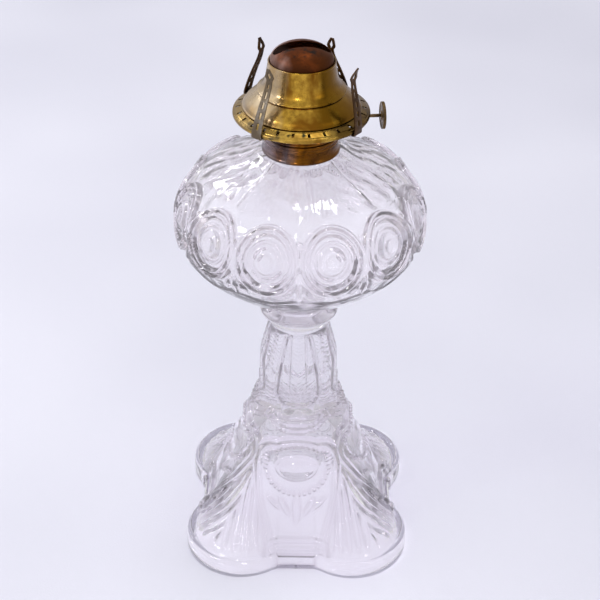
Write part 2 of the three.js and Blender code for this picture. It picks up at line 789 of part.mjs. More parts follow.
/** One spring prong at the front, bent in by some degrees. */
function prongGeometry(index) {
    const line = prongLine(prongBends[index]);
    const half = prongThickness / 2;
    const outline = [...shifted(line, -half), ...shifted(line, half).reverse()];
    const band = new THREE.ExtrudeGeometry(new THREE.Shape(outline), {
        depth: prongHeadWidth * 2, bevelEnabled: false,
    });
    band.translate(0, 0, -prongHeadWidth);
    band.rotateX(Math.PI / 2);
    band.rotateZ(-Math.PI / 2);
    const face = new THREE.ExtrudeGeometry(prongFace(prongHeight), {
        depth: brimRadius * 2, bevelEnabled: false,
    });
    face.rotateX(Math.PI / 2);
    face.translate(0, 0, rollFoot);
    const strip = solidOf(band).intersect(solidOf(face));
    const turn = prongAngle(index);
    const prong = strip.subtract(solidOf(rivetHole(index).rotateZ(-turn)));
    return geometryOf(prong).rotateZ(turn);
}

/** How far round from the burner's front a prong stands. */
function prongAngle(index) {
    return -Math.PI / prongCount + index / prongCount * Math.PI * 2;
}

/** The middle of a prong's rivet, as radius and height. */
function rivetPlace() {
    const reach = basketRadius - prongTab * rivetTabShare;
    return at(reach, basketUnderside(reach));
}

/** A bar along a prong's rivet, set square to the basket. */
function rivetBar(index, radius, length, shift) {
    const slope = basketSlope();
    const place = rivetPlace();
    const direction = new THREE.Vector3(0, Math.sin(slope), Math.cos(slope));
    const centre = new THREE.Vector3(0, -place.x, place.y).addScaledVector(direction, shift);
    return bar(radius, length, direction, centre, 8).rotateZ(prongAngle(index));
}

/** The hole for a prong's rivet. */
function rivetHole(index) {
    return rivetBar(index, rivetRadius + gap, overrun * 2, 0);
}

/** The rivet that holds a prong under the basket. */
function rivetGeometry(index) {
    const below = prongThickness + prongRoom;
    const above = sheet + gap;
    const headMiddle = rivetHead / 2 - rivetOverlap;
    const shank = rivetBar(index, rivetRadius, below + above, (above - below) / 2);
    const lower = rivetBar(index, rivetHeadRadius, rivetHead, -below - headMiddle);
    const upper = rivetBar(index, rivetHeadRadius, rivetHead, above + headMiddle);
    return geometryOf(solidOf(shank).add(solidOf(lower)).add(solidOf(upper)));
}

const lamp = new THREE.Group();
lamp.add(piece('glass_stand', standGeometry(), finishes.glass));
lamp.add(piece('glass_reservoir', reservoirGeometry(), finishes.glass));
lamp.add(piece('collar_cement', cementGeometry(), finishes.cement));
lamp.add(piece('brass_collar', collarGeometry(), finishes.bronze));

const burner = new THREE.Group();
burner.position.z = burnerSeat;
burner.rotation.z = radians(burnerTurn);
burner.add(piece('screw_ring', screwRingGeometry(), finishes.brass));
burner.add(piece('burner_cup', cupGeometry(), finishes.bronze));
burner.add(piece('tube_plate', tubePlateGeometry(), finishes.brass));
burner.add(piece('air_basket', basketGeometry(), finishes.brass));
burner.add(piece('gallery_brim', brimGeometry(), finishes.brass));
burner.add(piece('draught_skirt', skirtGeometry(), finishes.brass));
burner.add(piece('deflector_sleeve', sleeveGeometry(), finishes.brass));
burner.add(piece('deflector_dome', domeGeometry(), finishes.heated));
burner.add(piece('wick_tube', tubeGeometry(), finishes.brass));
burner.add(piece('wick', wickGeometry(), finishes.cotton));
burner.add(piece('wheel_cage', cageGeometry(), finishes.brass));
burner.add(piece('wick_shaft', shaftGeometry(), finishes.steel));
burner.add(piece('wick_wheel_left', spurGeometry(-1), finishes.steel));
burner.add(piece('wick_wheel_right', spurGeometry(1), finishes.steel));
burner.add(piece('thumbwheel', thumbwheelGeometry(), finishes.steel));
const corners = ['front_left', 'front_right', 'back_right', 'back_left'];
corners.forEach((corner, index) => {
    burner.add(piece(`prong_${corner}`, prongGeometry(index), finishes.steel));
    burner.add(piece(`prong_rivet_${corner}`, rivetGeometry(index), finishes.brass));
});
lamp.add(burner);

export default lamp;
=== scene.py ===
"""A pressed-glass oil lamp with a flat-wick brass burner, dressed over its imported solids.

Each class is one sub-assembly. It holds its sizes in millimetres in the lamp's own frame:
the origin is on the floor under the middle of the foot, and the front faces -Y. The burner's
pieces are made upright about the axis and then screwed down to their place.
"""

import logging
import math
from dataclasses import dataclass
from enum import Enum
from typing import Callable, Sequence

import bpy
import numpy as np
from mathutils import Matrix, Vector


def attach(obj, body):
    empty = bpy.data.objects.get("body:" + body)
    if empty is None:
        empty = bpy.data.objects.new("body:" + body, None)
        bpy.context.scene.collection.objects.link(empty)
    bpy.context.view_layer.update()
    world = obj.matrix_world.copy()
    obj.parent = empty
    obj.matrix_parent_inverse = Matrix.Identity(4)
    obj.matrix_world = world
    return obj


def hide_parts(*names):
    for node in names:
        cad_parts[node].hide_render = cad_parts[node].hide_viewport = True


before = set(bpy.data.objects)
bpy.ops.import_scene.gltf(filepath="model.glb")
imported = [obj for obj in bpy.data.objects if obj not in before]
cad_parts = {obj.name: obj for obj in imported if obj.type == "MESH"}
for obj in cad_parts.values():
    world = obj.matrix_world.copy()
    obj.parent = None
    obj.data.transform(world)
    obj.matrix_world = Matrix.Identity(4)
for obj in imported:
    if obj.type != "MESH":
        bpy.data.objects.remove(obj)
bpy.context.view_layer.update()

MM = 0.001
FULL_TURN = 2 * math.pi
BURNER_SEAT = 289.7  # height of the burner's own zero, on top of the collar
BURNER_TURN = 7.0  # degrees that the burner is screwed round from the front
CURVE_STEPS = 24  # steps between two given points of a flowing curve
CORNER_STEPS = 2  # facets in a rounded corner of an outline
WAVE_COUNT = 26  # waves in a mottled face
STEEPEST = 1.1  # rise over run at which a flank counts as steepest
FINEST_CELL = (0.4, 0.2)  # least size across and up that a mould's cell is counted with
SMALL = 1e-9  # keeps a length from being zero
SEAM_WELD = 2e-6  # metres; nearer points of a turned piece are merged
MOULD_WELD = 1e-6  # metres; nearer points of a pressed piece are merged
EVERY_EDGE = 180.0  # degrees: every edge is shaded smooth

log = logging.getLogger("lamp")

Pair = tuple[float, float]
Colour = tuple[float, float, float]
Outline = Sequence[Pair]
Piece = bpy.types.Object


class Body(Enum):
    """The rigid bodies that the pieces ride on."""

    LAMP = "lamp"
    SCREW_RING = "screw_ring"
    BURNER = "burner"
    WICK_DRIVE = "wick_drive"
    WICK = "wick"
    PRONG_FRONT_LEFT = "prong_front_left"
    PRONG_FRONT_RIGHT = "prong_front_right"
    PRONG_BACK_RIGHT = "prong_back_right"
    PRONG_BACK_LEFT = "prong_back_left"


class Slot(Enum):
    """The record's material slots."""

    GLASS = "glass"
    CEMENT = "cement"
    BRONZE = "collar_bronze"
    BRASS = "burner_brass"
    HEATED = "heated_brass"
    TARNISHED = "tarnished_brass"
    COTTON = "wick_cotton"


# ---- curves and outlines


def flowing(points: Sequence[Sequence[float]], count: int) -> np.ndarray:
    """Spreads points evenly along a smooth curve through a few given ones.

    Args:
        points: Rows of two numbers or more. The spacing is measured on the first two, or on
            the first and third where there are more.
        count: How many points to return.

    Returns:
        An array of count rows.
    """
    given = np.asarray(points, float)
    padded = np.vstack([2 * given[0] - given[1], given, 2 * given[-1] - given[-2]])
    share = np.linspace(0, 1, CURVE_STEPS, endpoint=False)[:, None]
    parts = []
    for a, b, c, d in zip(padded, padded[1:], padded[2:], padded[3:]):
        parts.append(0.5 * (
            2 * b + (c - a) * share
            + (2 * a - 5 * b + 4 * c - d) * share**2
            + (3 * b - a - 3 * c + d) * share**3))
    fine = np.vstack([*parts, given[-1:]])
    plane = fine[:, [0, 2]] if fine.shape[1] > 2 else fine
    length = np.concatenate([[0], np.cumsum(np.hypot(*np.diff(plane, axis=0).T))])
    even = np.linspace(0, length[-1], count)
    return np.column_stack([np.interp(even, length, column) for column in fine.T])


def walked(line: np.ndarray) -> np.ndarray:
    """The distance walked along a line at each of its points."""
    return np.concatenate([[0], np.cumsum(np.hypot(*np.diff(line, axis=0).T))])


def around(radius: np.ndarray, height: np.ndarray, turn: np.ndarray) -> np.ndarray:
    """The places at some radii, heights and turns about the axis.

    Args:
        radius: Radii, by row or by row and turn.
        height: Heights, laid out in the same way.
        turn: Turns from the front, in radians.

    Returns:
        The places, by row and turn.
    """
    x = radius * np.sin(turn)
    return np.stack([x, -radius * np.cos(turn), np.broadcast_to(height, x.shape)], -1)


def offset(line: Outline, distance: float) -> list[Pair]:
    """Moves an open line sideways to its left.

    Args:
        line: Points of radius and height.
        distance: How far to move it.

    Returns:
        The moved line.
    """
    points = np.asarray(line, float)
    moved = []
    for index, point in enumerate(points):
        before = points[max(index - 1, 0)]
        after = points[min(index + 1, len(points) - 1)]
        along = (after - before) / max(np.hypot(*(after - before)), SMALL)
        moved.append((point[0] - along[1] * distance, point[1] + along[0] * distance))
    return moved


def rounded(outline: Outline, reach: float) -> list[Pair]:
    """Rounds every corner of a closed outline.

    Args:
        outline: The corners, without the first one repeated.
        reach: How far from a corner its rounding starts.

    Returns:
        A closed outline, its first point repeated at the end.
    """
    corners = np.asarray(outline, float)
    points = []
    for index, corner in enumerate(corners):
        before = corners[index - 1] - corner
        after = corners[(index + 1) % len(corners)] - corner
        into = corner + before * min(reach / np.hypot(*before), 0.45)
        out = corner + after * min(reach / np.hypot(*after), 0.45)
        for share in np.linspace(0, 1, CORNER_STEPS + 1):
            point = (1 - share) ** 2 * into + 2 * share * (1 - share) * corner + share**2 * out
            points.append(tuple(point))
    return [*points, points[0]]


def sheet_outline(face: Outline, thickness: float, reach: float) -> list[Pair]:
    """The rounded outline of sheet metal whose outer face follows a line, its wall on the left."""
    return rounded([*face, *reversed(offset(face, thickness))], reach)


# ---- relief of pressed glass


def ridge(distance: np.ndarray, half_width: float) -> np.ndarray:
    """A smooth ridge: 1 on its line and 0 from its half width outwards."""
    return np.clip(1 - (distance / half_width) ** 2, 0, 1) ** 1.5


def step(distance: np.ndarray, width: float) -> np.ndarray:
    """A smooth step from 0 to 1 as a distance goes through 0."""
    share = np.clip(distance / width + 0.5, 0, 1)
    return share * share * (3 - 2 * share)


def oval(x: np.ndarray, y: np.ndarray, wide: float, tall: float) -> np.ndarray:
    """The distance outwards from an oval's line, by its half width and half height."""
    reach = np.hypot(x / wide, y / tall) + SMALL
    return (1 - 1 / reach) * np.hypot(x, y)


def dome(x: np.ndarray, y: np.ndarray, wide: float, tall: float, power: float) -> np.ndarray:
    """An oval dome, 1 in its middle and 0 at its edge."""
    return np.clip(1 - (x / wide) ** 2 - (y / tall) ** 2, 0, 1) ** power


def tilted(x: np.ndarray, y: np.ndarray, degrees: float) -> tuple[np.ndarray, np.ndarray]:
    """The same places in a frame turned by some degrees.

    Args:
        x: How far across each place lies.
        y: How far up each place lies.
        degrees: How far the frame is turned.

    Returns:
        How far across and up the places lie in the turned frame.
    """
    turn = math.radians(degrees)
    return x * math.cos(turn) + y * math.sin(turn), y * math.cos(turn) - x * math.sin(turn)


@dataclass(frozen=True)
class Ridge:
    """A smooth ridge of pressed glass along a line, or a groove where its height is negative."""

    height: float
    half_width: float

    def on(self, distance: np.ndarray) -> np.ndarray:
        """How far the glass stands out at some distances from the ridge's line."""
        return self.height * ridge(distance, self.half_width)


@dataclass(frozen=True)
class Boss:
    """A domed oval of pressed glass, or a dish where its height is negative."""

    height: float
    half_width: float
    half_height: float
    power: float

    def on(self, x: np.ndarray, y: np.ndarray) -> np.ndarray:
        """How far the glass stands out at some places from the boss's middle."""
        return self.height * dome(x, y, self.half_width, self.half_height, self.power)


def steepness(places: np.ndarray, relief: np.ndarray) -> np.ndarray:
    """How steep the pattern is at each place, from 0 on a plain face to 1 on its steepest flanks.

    Args:
        places: Places in millimetres, by row and column.
        relief: How far the pattern stands out at each, in millimetres.

    Returns:
        The steepness, by row and column.
    """
    reach = np.linalg.norm(np.roll(places, -1, 1) - np.roll(places, 1, 1), axis=-1)
    across = (np.roll(relief, -1, 1) - np.roll(relief, 1, 1)) / np.maximum(reach, FINEST_CELL[0])
    reach = np.linalg.norm(np.gradient(places, axis=0), axis=-1)
    along = np.gradient(relief, axis=0) / np.maximum(reach, FINEST_CELL[1])
    return np.clip(np.hypot(across, along) / STEEPEST, 0, 1)


def mottle(places: np.ndarray, size: float, seed: int) -> np.ndarray:
    """The uneven face of hand-gathered glass.

    Args:
        places: Places in millimetres.
        size: About how wide its dimples are, in millimetres.
        seed: Picks one of many patterns.

    Returns:
        How far each place stands out, as a share that is mostly within 1.
    """
    chance = np.random.default_rng(seed)
    total = np.zeros(places.shape[:-1])
    for _ in range(WAVE_COUNT):
        heading = chance.normal(size=3)
        heading *= FULL_TURN / (np.linalg.norm(heading) * size * chance.uniform(0.75, 1.6))
        total += np.sin(places @ heading + chance.uniform(0, FULL_TURN))
    return total / math.sqrt(WAVE_COUNT / 2)


# ---- modelling steps


class Bench:
    """The modelling steps that the lamp's pieces share."""

    @staticmethod
    def clear() -> None:
        """Leaves edit mode with nothing selected."""
        if bpy.context.object is not None and bpy.context.object.mode != "OBJECT":
            bpy.ops.object.mode_set(mode="OBJECT")
        bpy.ops.object.select_all(action="DESELECT")

    @staticmethod
    def take(piece: Piece) -> None:
        """Selects one piece alone and makes it active.

        Args:
            piece: The piece.
        """
        Bench.clear()
        piece.select_set(True)
        bpy.context.view_layer.objects.active = piece

    @staticmethod
    def named(name: str) -> Piece:
        """Names the new primitive and puts its place into its mesh.

        Args:
            name: The name of the piece and of its mesh.

        Returns:
            The piece.
        """
        piece = bpy.context.object
        piece.name = name
        piece.data.name = name
        Bench.settle(piece)
        return piece

    @staticmethod
    def settle(piece: Piece) -> None:
        """Puts a piece's place, turn and size into its mesh."""
        Bench.take(piece)
        bpy.ops.object.transform_apply(location=True, rotation=True, scale=True)

    @staticmethod
    def open(piece: Piece) -> None:
        """Takes a piece into edit mode with everything selected."""
        Bench.take(piece)
        bpy.ops.object.mode_set(mode="EDIT")
        bpy.ops.mesh.select_mode(type="VERT")
        bpy.ops.mesh.select_all(action="SELECT")

    @staticmethod
    def close(weld: float = 0.0) -> None:
        """Leaves edit mode, with doubles merged first and then the faces turned outwards.

        Args:
            weld: Distance in metres under which vertices are merged; 0 merges none.
        """
        bpy.ops.mesh.select_all(action="SELECT")
        if weld > 0:
            bpy.ops.mesh.remove_doubles(threshold=weld)
        bpy.ops.mesh.normals_make_consistent(inside=False)
        bpy.ops.object.mode_set(mode="OBJECT")

    @staticmethod
    def turned(name: str, outline: Outline, sides: int) -> Piece:
        """Turns an outline of radius and height round the axis, ring by ring.

        Args:
            name: The piece's name.
            outline: Points in millimetres; closed where the last one repeats the first, and
                otherwise open or ending on the axis.
            sides: Facets round the piece.

        Returns:
            The new piece.
        """
        Bench.clear()
        radius, height = outline[0]
        bpy.ops.mesh.primitive_circle_add(
            vertices=sides, radius=radius * MM, location=(0, 0, height * MM))
        piece = Bench.named(name)
        Bench.open(piece)
        for (near, low), (far, high) in zip(outline, outline[1:]):
            bpy.ops.mesh.extrude_region_move(
                TRANSFORM_OT_translate={"value": (0, 0, (high - low) * MM)})
            if far == 0:
                bpy.ops.mesh.merge(type="CENTER")
                break
            bpy.ops.transform.resize(
                value=(far / near, far / near, 1), center_override=(0, 0, high * MM))
        Bench.close(weld=SEAM_WELD)
        return piece

    @staticmethod
    def sheet(name: str, columns: int, rows: int) -> tuple[Piece, np.ndarray, np.ndarray]:
        """Lays out a flat grid whose vertices are then put in their places.

        Args:
            name: The piece's name.
            columns: Cells across.
            rows: Cells up.

        Returns:
            The new piece, and the column and row of each vertex.
        """
        Bench.clear()
        bpy.ops.mesh.primitive_grid_add(x_subdivisions=columns, y_subdivisions=rows, size=1)
        piece = Bench.named(name)
        flat = np.empty(len(piece.data.vertices) * 3, np.float32)
        piece.data.vertices.foreach_get("co", flat)
        grid = flat.reshape(-1, 3)
        column = np.rint((grid[:, 0] + 0.5) * columns).astype(int)
        row = np.rint((grid[:, 1] + 0.5) * rows).astype(int)
        return piece, column, row

    @staticmethod
    def put(piece: Piece, places: np.ndarray) -> None:
        """Puts each vertex of a piece in its place, given in millimetres."""
        piece.data.vertices.foreach_set("co", (places * MM).astype(np.float32).ravel())

    @staticmethod
    def pressed(name: str, mould: np.ndarray, relief: np.ndarray) -> Piece:
        """Presses a grid into a mould that closes round the axis, row by row.

        Args:
            name: The piece's name.
            mould: Places in millimetres, by row and column.
            relief: How far the pattern stands out at each place, in millimetres.

        Returns:
            The new piece, welded along its seam and at its poles, with the steepness of its pattern
            kept as its flank attribute for the painted shade of the glass.
        """
        rows, columns = mould.shape[:2]
        piece, column, row = Bench.sheet(name, columns, rows - 1)
        column %= columns
        Bench.put(piece, mould[row, column])
        flank = piece.data.attributes.new("flank", "FLOAT", "POINT")
        flank.data.foreach_set("value", steepness(mould, relief)[row, column].astype(np.float32))
        Bench.open(piece)
        Bench.close(weld=MOULD_WELD)
        return piece

    @staticmethod
    def finish_with(piece: Piece, kind: str, **settings: object) -> None:
        """Adds one modifier to a piece and applies it.

        Args:
            piece: The piece.
            kind: The modifier's type.
            settings: The modifier's properties by name.
        """
        Bench.take(piece)
        bpy.ops.object.modifier_add(type=kind)
        modifier = piece.modifiers[-1]
        for key, value in settings.items():
            setattr(modifier, key, value)
        bpy.ops.object.modifier_apply(modifier=modifier.name)

    @staticmethod
    def ease(piece: Piece, width: float, segments: int, degrees: float = 35) -> None:
        """Rounds a piece's sharp edges.

        Args:
            piece: The piece.
            width: Width of the rounding in millimetres.
            segments: Facets in it.
            degrees: The angle from which an edge counts as sharp.
        """
        Bench.finish_with(
            piece, "BEVEL", width=width * MM, segments=segments, limit_method="ANGLE",
            angle_limit=math.radians(degrees))

    @staticmethod
    def carve(piece: Piece, cutter: Piece) -> None:
        """Cuts one closed piece out of another and removes the cutter."""
        Bench.finish_with(piece, "BOOLEAN", operation="DIFFERENCE", solver="EXACT", object=cutter)
        bpy.data.objects.remove(cutter)

    @staticmethod
    def select(piece: Piece, kind: str, wanted: Callable[[object], bool]) -> None:
        """Selects the faces or vertices that a test wants, and opens edit mode on them.

        Args:
            piece: The piece to select in.
            kind: FACE or VERT.
            wanted: The test, given a face or a vertex.
        """
        Bench.take(piece)
        bpy.ops.object.mode_set(mode="EDIT")
        bpy.ops.mesh.select_mode(type=kind)
        bpy.ops.mesh.select_all(action="DESELECT")
        bpy.ops.object.mode_set(mode="OBJECT")
        items = piece.data.polygons if kind == "FACE" else piece.data.vertices
        for item in items:
            item.select = wanted(item)
        bpy.ops.object.mode_set(mode="EDIT")

    @staticmethod
    def smooth(piece: Piece, degrees: float) -> None:
        """Shades a piece smooth, with its sharp edges kept."""
        Bench.take(piece)
        bpy.ops.object.shade_smooth_by_angle(angle=math.radians(degrees))

    @staticmethod
    def screw_down(piece: Piece) -> None:
        """Brings a piece of the burner from its own frame to the lamp's.

        Args:
            piece: The piece, upright about the axis.
        """
        piece.rotation_euler = (0, 0, math.radians(BURNER_TURN))
        piece.location = (0, 0, BURNER_SEAT * MM)
        Bench.settle(piece)


# ---- finishes


class Nodes:
    """A short way to lay out a material's nodes."""

    def __init__(self, name: str) -> None:
        """Starts an empty material.

        Args:
            name: The material's name.
        """
        self.material = bpy.data.materials.new(name)
        self.material.use_nodes = True
        self.tree = self.material.node_tree
        self.tree.nodes.clear()
        self.output = self.add("ShaderNodeOutputMaterial")
        self.place = self.add("ShaderNodeTexCoord").outputs["Object"]

    def add(self, kind: str, **values: object) -> bpy.types.Node:
        """Adds a node, with properties by name and inputs by their label.

        Args:
            kind: The node's type.
            values: Properties, or sockets and links under their labels with _ for a blank.

        Returns:
            The node.
        """
        node = self.tree.nodes.new(kind)
        for key, value in values.items():
            label = key.replace("_", " ")
            if label in node.inputs:
                self.feed(node.inputs[label], value)
            else:
                setattr(node, key, value)
        return node

    def feed(self, socket: bpy.types.NodeSocket, value: object) -> None:
        """Sets a socket, or links an output to it.

        Args:
            socket: The input.
            value: A number, a colour or another node's output.
        """
        if isinstance(value, bpy.types.NodeSocket):
            self.tree.links.new(value, socket)
        else:
            socket.default_value = value

    def skin(self, shader: bpy.types.Node) -> bpy.types.Material:
        """Puts a shader on the surface.

        Args:
            shader: The shader's node.

        Returns:
            The finished material.
        """
        self.tree.links.new(shader.outputs[0], self.output.inputs["Surface"])
        return self.material

    def along(self, axis: str) -> bpy.types.NodeSocket:
        """How far along X, Y or Z a place lies."""
        return self.add("ShaderNodeSeparateXYZ", Vector=self.place).outputs[axis]

    def mapped(self, scale: Sequence[float]) -> bpy.types.NodeSocket:
        """The piece's own coordinates, scaled."""
        return self.add("ShaderNodeMapping", Vector=self.place, Scale=scale).outputs["Vector"]

    def noise(self, scale: float, detail: float, stretch: Sequence[float] = (1, 1, 1),
              distortion: float = 0.0) -> bpy.types.NodeSocket:
        """A noise on the piece's own coordinates.

        Args:
            scale: How many of its cells go into a metre.
            detail: Its finer octaves.
            stretch: Scales of its three axes.
            distortion: How far it is distorted.

        Returns:
            The noise, about 0.5 in its middle.
        """
        node = self.add("ShaderNodeTexNoise", Vector=self.mapped(stretch), Scale=scale,
                        Detail=detail, Distortion=distortion)
        return node.outputs["Fac"]

    def ramp(self, value: bpy.types.NodeSocket, stops: Sequence[tuple[float, Sequence[float]]]
             ) -> bpy.types.NodeSocket:
        """Colours a value.

        Args:
            value: The value.
            stops: Places from 0 to 1 and their colours.

        Returns:
            The colour.
        """
        node = self.add("ShaderNodeValToRGB", Fac=value)
        elements = node.color_ramp.elements
        while len(elements) < len(stops):
            elements.new(0.5)
        for element, (place, colour) in zip(elements, stops):
            element.position = place
            element.color = (*colour, 1)
        return node.outputs["Color"]

    def band(self, value: bpy.types.NodeSocket, low: float, high: float,
             to: Pair = (0, 1), way: str = "LINEAR") -> bpy.types.NodeSocket:
        """Maps a value from one range to another, held at the ends.

        Args:
            value: The value.
            low: Where the first range starts.
            high: Where it ends; below its start where the map runs down.
            to: The second range.
            way: The map's interpolation.

        Returns:
            The mapped value.
        """
        node = self.add("ShaderNodeMapRange", Value=value, interpolation_type=way)
        for label, number in zip(("From Min", "From Max", "To Min", "To Max"), (low, high, *to)):
            node.inputs[label].default_value = number
        return node.outputs["Result"]

    def mix(self, share: object, first: object, second: object) -> bpy.types.NodeSocket:
        """Mixes two colours.

        Args:
            share: How much of the second one.
            first: The first colour.
            second: The second colour.

        Returns:
            The mixed colour.
        """
        node = self.add("ShaderNodeMix", data_type="RGBA")
        for index, value in ((0, share), (6, first), (7, second)):
            if isinstance(value, tuple) and len(value) == 3:
                value = (*value, 1)
            self.feed(node.inputs[index], value)
        return node.outputs[2]

    def maths(self, way: str, first: object, second: object) -> bpy.types.NodeSocket:
        """One step of arithmetic.

        Args:
            way: The operation.
            first: The first number.
            second: The second number.

        Returns:
            The result.
        """
        node = self.add("ShaderNodeMath", operation=way)
        self.feed(node.inputs[0], first)
        self.feed(node.inputs[1], second)
        return node.outputs[0]

    def bump(self, height: bpy.types.NodeSocket, distance: float, strength: float,
             under: bpy.types.NodeSocket | None = None) -> bpy.types.NodeSocket:
        """A bump of the surface.

        Args:
            height: The pattern.
            distance: How far it stands out, in millimetres.
            strength: How much of it is used.
            under: Another bump that it lies on.

        Returns:
            The normal.
        """
        node = self.add("ShaderNodeBump", Height=height, Distance=distance * MM, Strength=strength)
        if under is not None:
            self.tree.links.new(under, node.inputs["Normal"])
        return node.outputs["Normal"]


@dataclass(frozen=True)
class PressedGlass:
    """Clear pressed glass with a faint violet cast, fire-polished and a little wavy, with painted
    shade on the steep flanks of its relief.
    """

    name: str
    tint: Colour = (0.975, 0.967, 0.980)
    # Painted shade: the colour that the relief's steep flanks are darkened towards
    flanks: Colour = (0.80, 0.735, 0.78)
    foot_tint: Colour | None = None  # a darker tint, fuller towards the bottom
    foot_top: float = 140.0  # height where the foot's tint starts, going down
    foot_low: float = 70.0  # height where it is full
    shade: Colour = (0.94, 0.93, 0.95)  # of its shadow
    cast: Colour = (0.86, 0.80, 0.88)
    cast_density: float = 2.5
    waves: float = 0.12
    clearness: float = 0.93

    def material(self) -> bpy.types.Material:
        """Builds the glass.

        Returns:
            The material.
        """
        nodes = Nodes(self.name)
        slow = nodes.bump(nodes.noise(55, 2), self.waves, 0.6)
        quick = nodes.bump(nodes.noise(230, 2), self.waves / 3, 0.5, slow)
        haze = nodes.band(nodes.noise(120, 3), 0.35, 0.75, (0.0, 0.035))
        flank = nodes.add("ShaderNodeAttribute", attribute_name="flank").outputs["Fac"]
        ground = nodes.band(nodes.noise(90, 3), 0.3, 0.7, (0.85, 1.0))
        colour = self.tint
        if self.foot_tint is not None:
            low = nodes.band(nodes.along("Z"), self.foot_top * MM, self.foot_low * MM)
            colour = nodes.mix(low, colour, self.foot_tint)
        # Painted shade on the relief's steep flanks, a little more or less at random
        colour = nodes.mix(nodes.maths("MULTIPLY", flank, ground), colour, self.flanks)
        glass = nodes.add("ShaderNodeBsdfPrincipled", IOR=1.52, Roughness=haze, Normal=quick,
                          Base_Color=colour)
        glass.inputs["Transmission Weight"].default_value = self.clearness
        clear = nodes.add("ShaderNodeBsdfTransparent")
        clear.inputs["Color"].default_value = (*self.shade, 1)
        path = nodes.add("ShaderNodeLightPath")
        mixed = nodes.add("ShaderNodeMixShader", Fac=path.outputs["Is Shadow Ray"])
        nodes.tree.links.new(glass.outputs[0], mixed.inputs[1])
        nodes.tree.links.new(clear.outputs[0], mixed.inputs[2])
        absorb = nodes.add("ShaderNodeVolumeAbsorption")
        absorb.inputs["Color"].default_value = (*self.cast, 1)
        absorb.inputs["Density"].default_value = self.cast_density
        nodes.tree.links.new(absorb.outputs[0], nodes.output.inputs["Volume"])
        return nodes.skin(mixed)


@dataclass(frozen=True)
class AgedMetal:
    """Old sheet brass: a clean colour, patches of tarnish, dark specks and fine spinning lines,
    with a painted sheen on its left side and painted shade on its right.
    """

    name: str
    clean: Colour
    tarnish: Colour
    dark: Colour
    patch_scale: float
    gloss: Pair
    patch_at: Pair = (0.42, 0.62)
    stretch: tuple[float, float, float] = (1.0, 1.0, 0.35)
    specks: float = 0.35
    speck_scale: float = 700.0
    dents: float = 0.10
    lines: float = 0.012
    grime: Pair | None = None  # heights in mm where grime starts and is full
    painted_sheen: Colour | None = None  # painted sheen: the paler colour of the left side, where the light falls
    browned_and_shaded: Colour | None = None  # painted shade: the darker, browner colour of the right side, away from the light
    least_reach: float = 24.0  # radius in mm inside which both sides run together

    def material(self) -> bpy.types.Material:
        """Builds the metal.

        Returns:
            The material.
        """
        nodes = Nodes(self.name)
        patches = nodes.noise(self.patch_scale, 5, self.stretch, 0.6)
        middle = sum(self.patch_at) / 2
        blend = tuple((a + b) / 2 for a, b in zip(self.clean, self.tarnish))
        colour = nodes.ramp(patches, [
            (self.patch_at[0], self.clean), (middle, blend), (self.patch_at[1], self.tarnish)])
        fine = nodes.noise(self.patch_scale * 6, 6)
        colour = nodes.mix(nodes.band(fine, 0.35, 0.70, (0, 0.65)), colour, self.tarnish)
        speck = nodes.band(nodes.noise(self.speck_scale, 3), 0.60, 0.70)
        area = nodes.band(nodes.noise(self.patch_scale * 1.7, 3), 0.48, 0.62)
        colour = nodes.mix(
            nodes.maths("MULTIPLY", nodes.maths("MULTIPLY", speck, area), self.specks),
            colour, self.dark)
        if self.grime is not None:
            near = nodes.band(nodes.along("Z"), self.grime[0] * MM, self.grime[1] * MM)
            patch = nodes.band(nodes.noise(190, 5), 0.53, 0.64)
            colour = nodes.mix(nodes.maths("MULTIPLY", near, patch), colour, self.dark)
        # Painted light: a paler sheen on the left side and painted shade on the right
        colour = self.sides(nodes, colour)
        rough = nodes.band(patches, self.patch_at[0], self.patch_at[1], self.gloss)
        wave = nodes.add("ShaderNodeTexWave", wave_type="BANDS", bands_direction="Z",
                         Vector=nodes.place, Scale=900.0, Distortion=2.0, Detail=1.0)
        normal = nodes.bump(nodes.noise(90, 3), self.dents, 0.7)
        normal = nodes.bump(nodes.noise(1300, 3), self.lines, 0.6, normal)
        normal = nodes.bump(wave.outputs["Fac"], self.lines, 0.5, normal)
        metal = nodes.add("ShaderNodeBsdfPrincipled", Base_Color=colour, Roughness=rough,
                          Normal=normal)
        metal.inputs["Metallic"].default_value = 1.0
        return nodes.skin(metal)

    def sides(self, nodes: Nodes, colour: bpy.types.NodeSocket) -> bpy.types.NodeSocket:
        """Paints a paler sheen on the lamp's left, where the light falls, and painted shade on its
        right.

        Args:
            nodes: The material's nodes.
            colour: The metal's colour.

        Returns:
            The colour with the painted light of both sides on it.
        """
        flat = nodes.add("ShaderNodeVectorMath", operation="LENGTH")
        nodes.tree.links.new(nodes.mapped((1, 1, 0)), flat.inputs[0])
        reach = nodes.maths("MAXIMUM", flat.outputs["Value"], self.least_reach * MM)
        side = nodes.maths("DIVIDE", nodes.along("X"), reach)
        ragged = nodes.band(nodes.noise(60, 5, (1, 1, 0.3)), 0.3, 0.7, (-0.34, 0.34))
        side = nodes.maths("ADD", side, ragged)
        # Painted sheen on the left side, painted shade on the right
        for tone, start, full, most in (
                (self.painted_sheen, -0.15, -0.85, 0.85), (self.browned_and_shaded, 0.08, 0.68, 0.9)):
            if tone is not None:
                share = nodes.band(side, start, full, (0, most), "SMOOTHSTEP")
                colour = nodes.mix(share, colour, tone)
        return colour


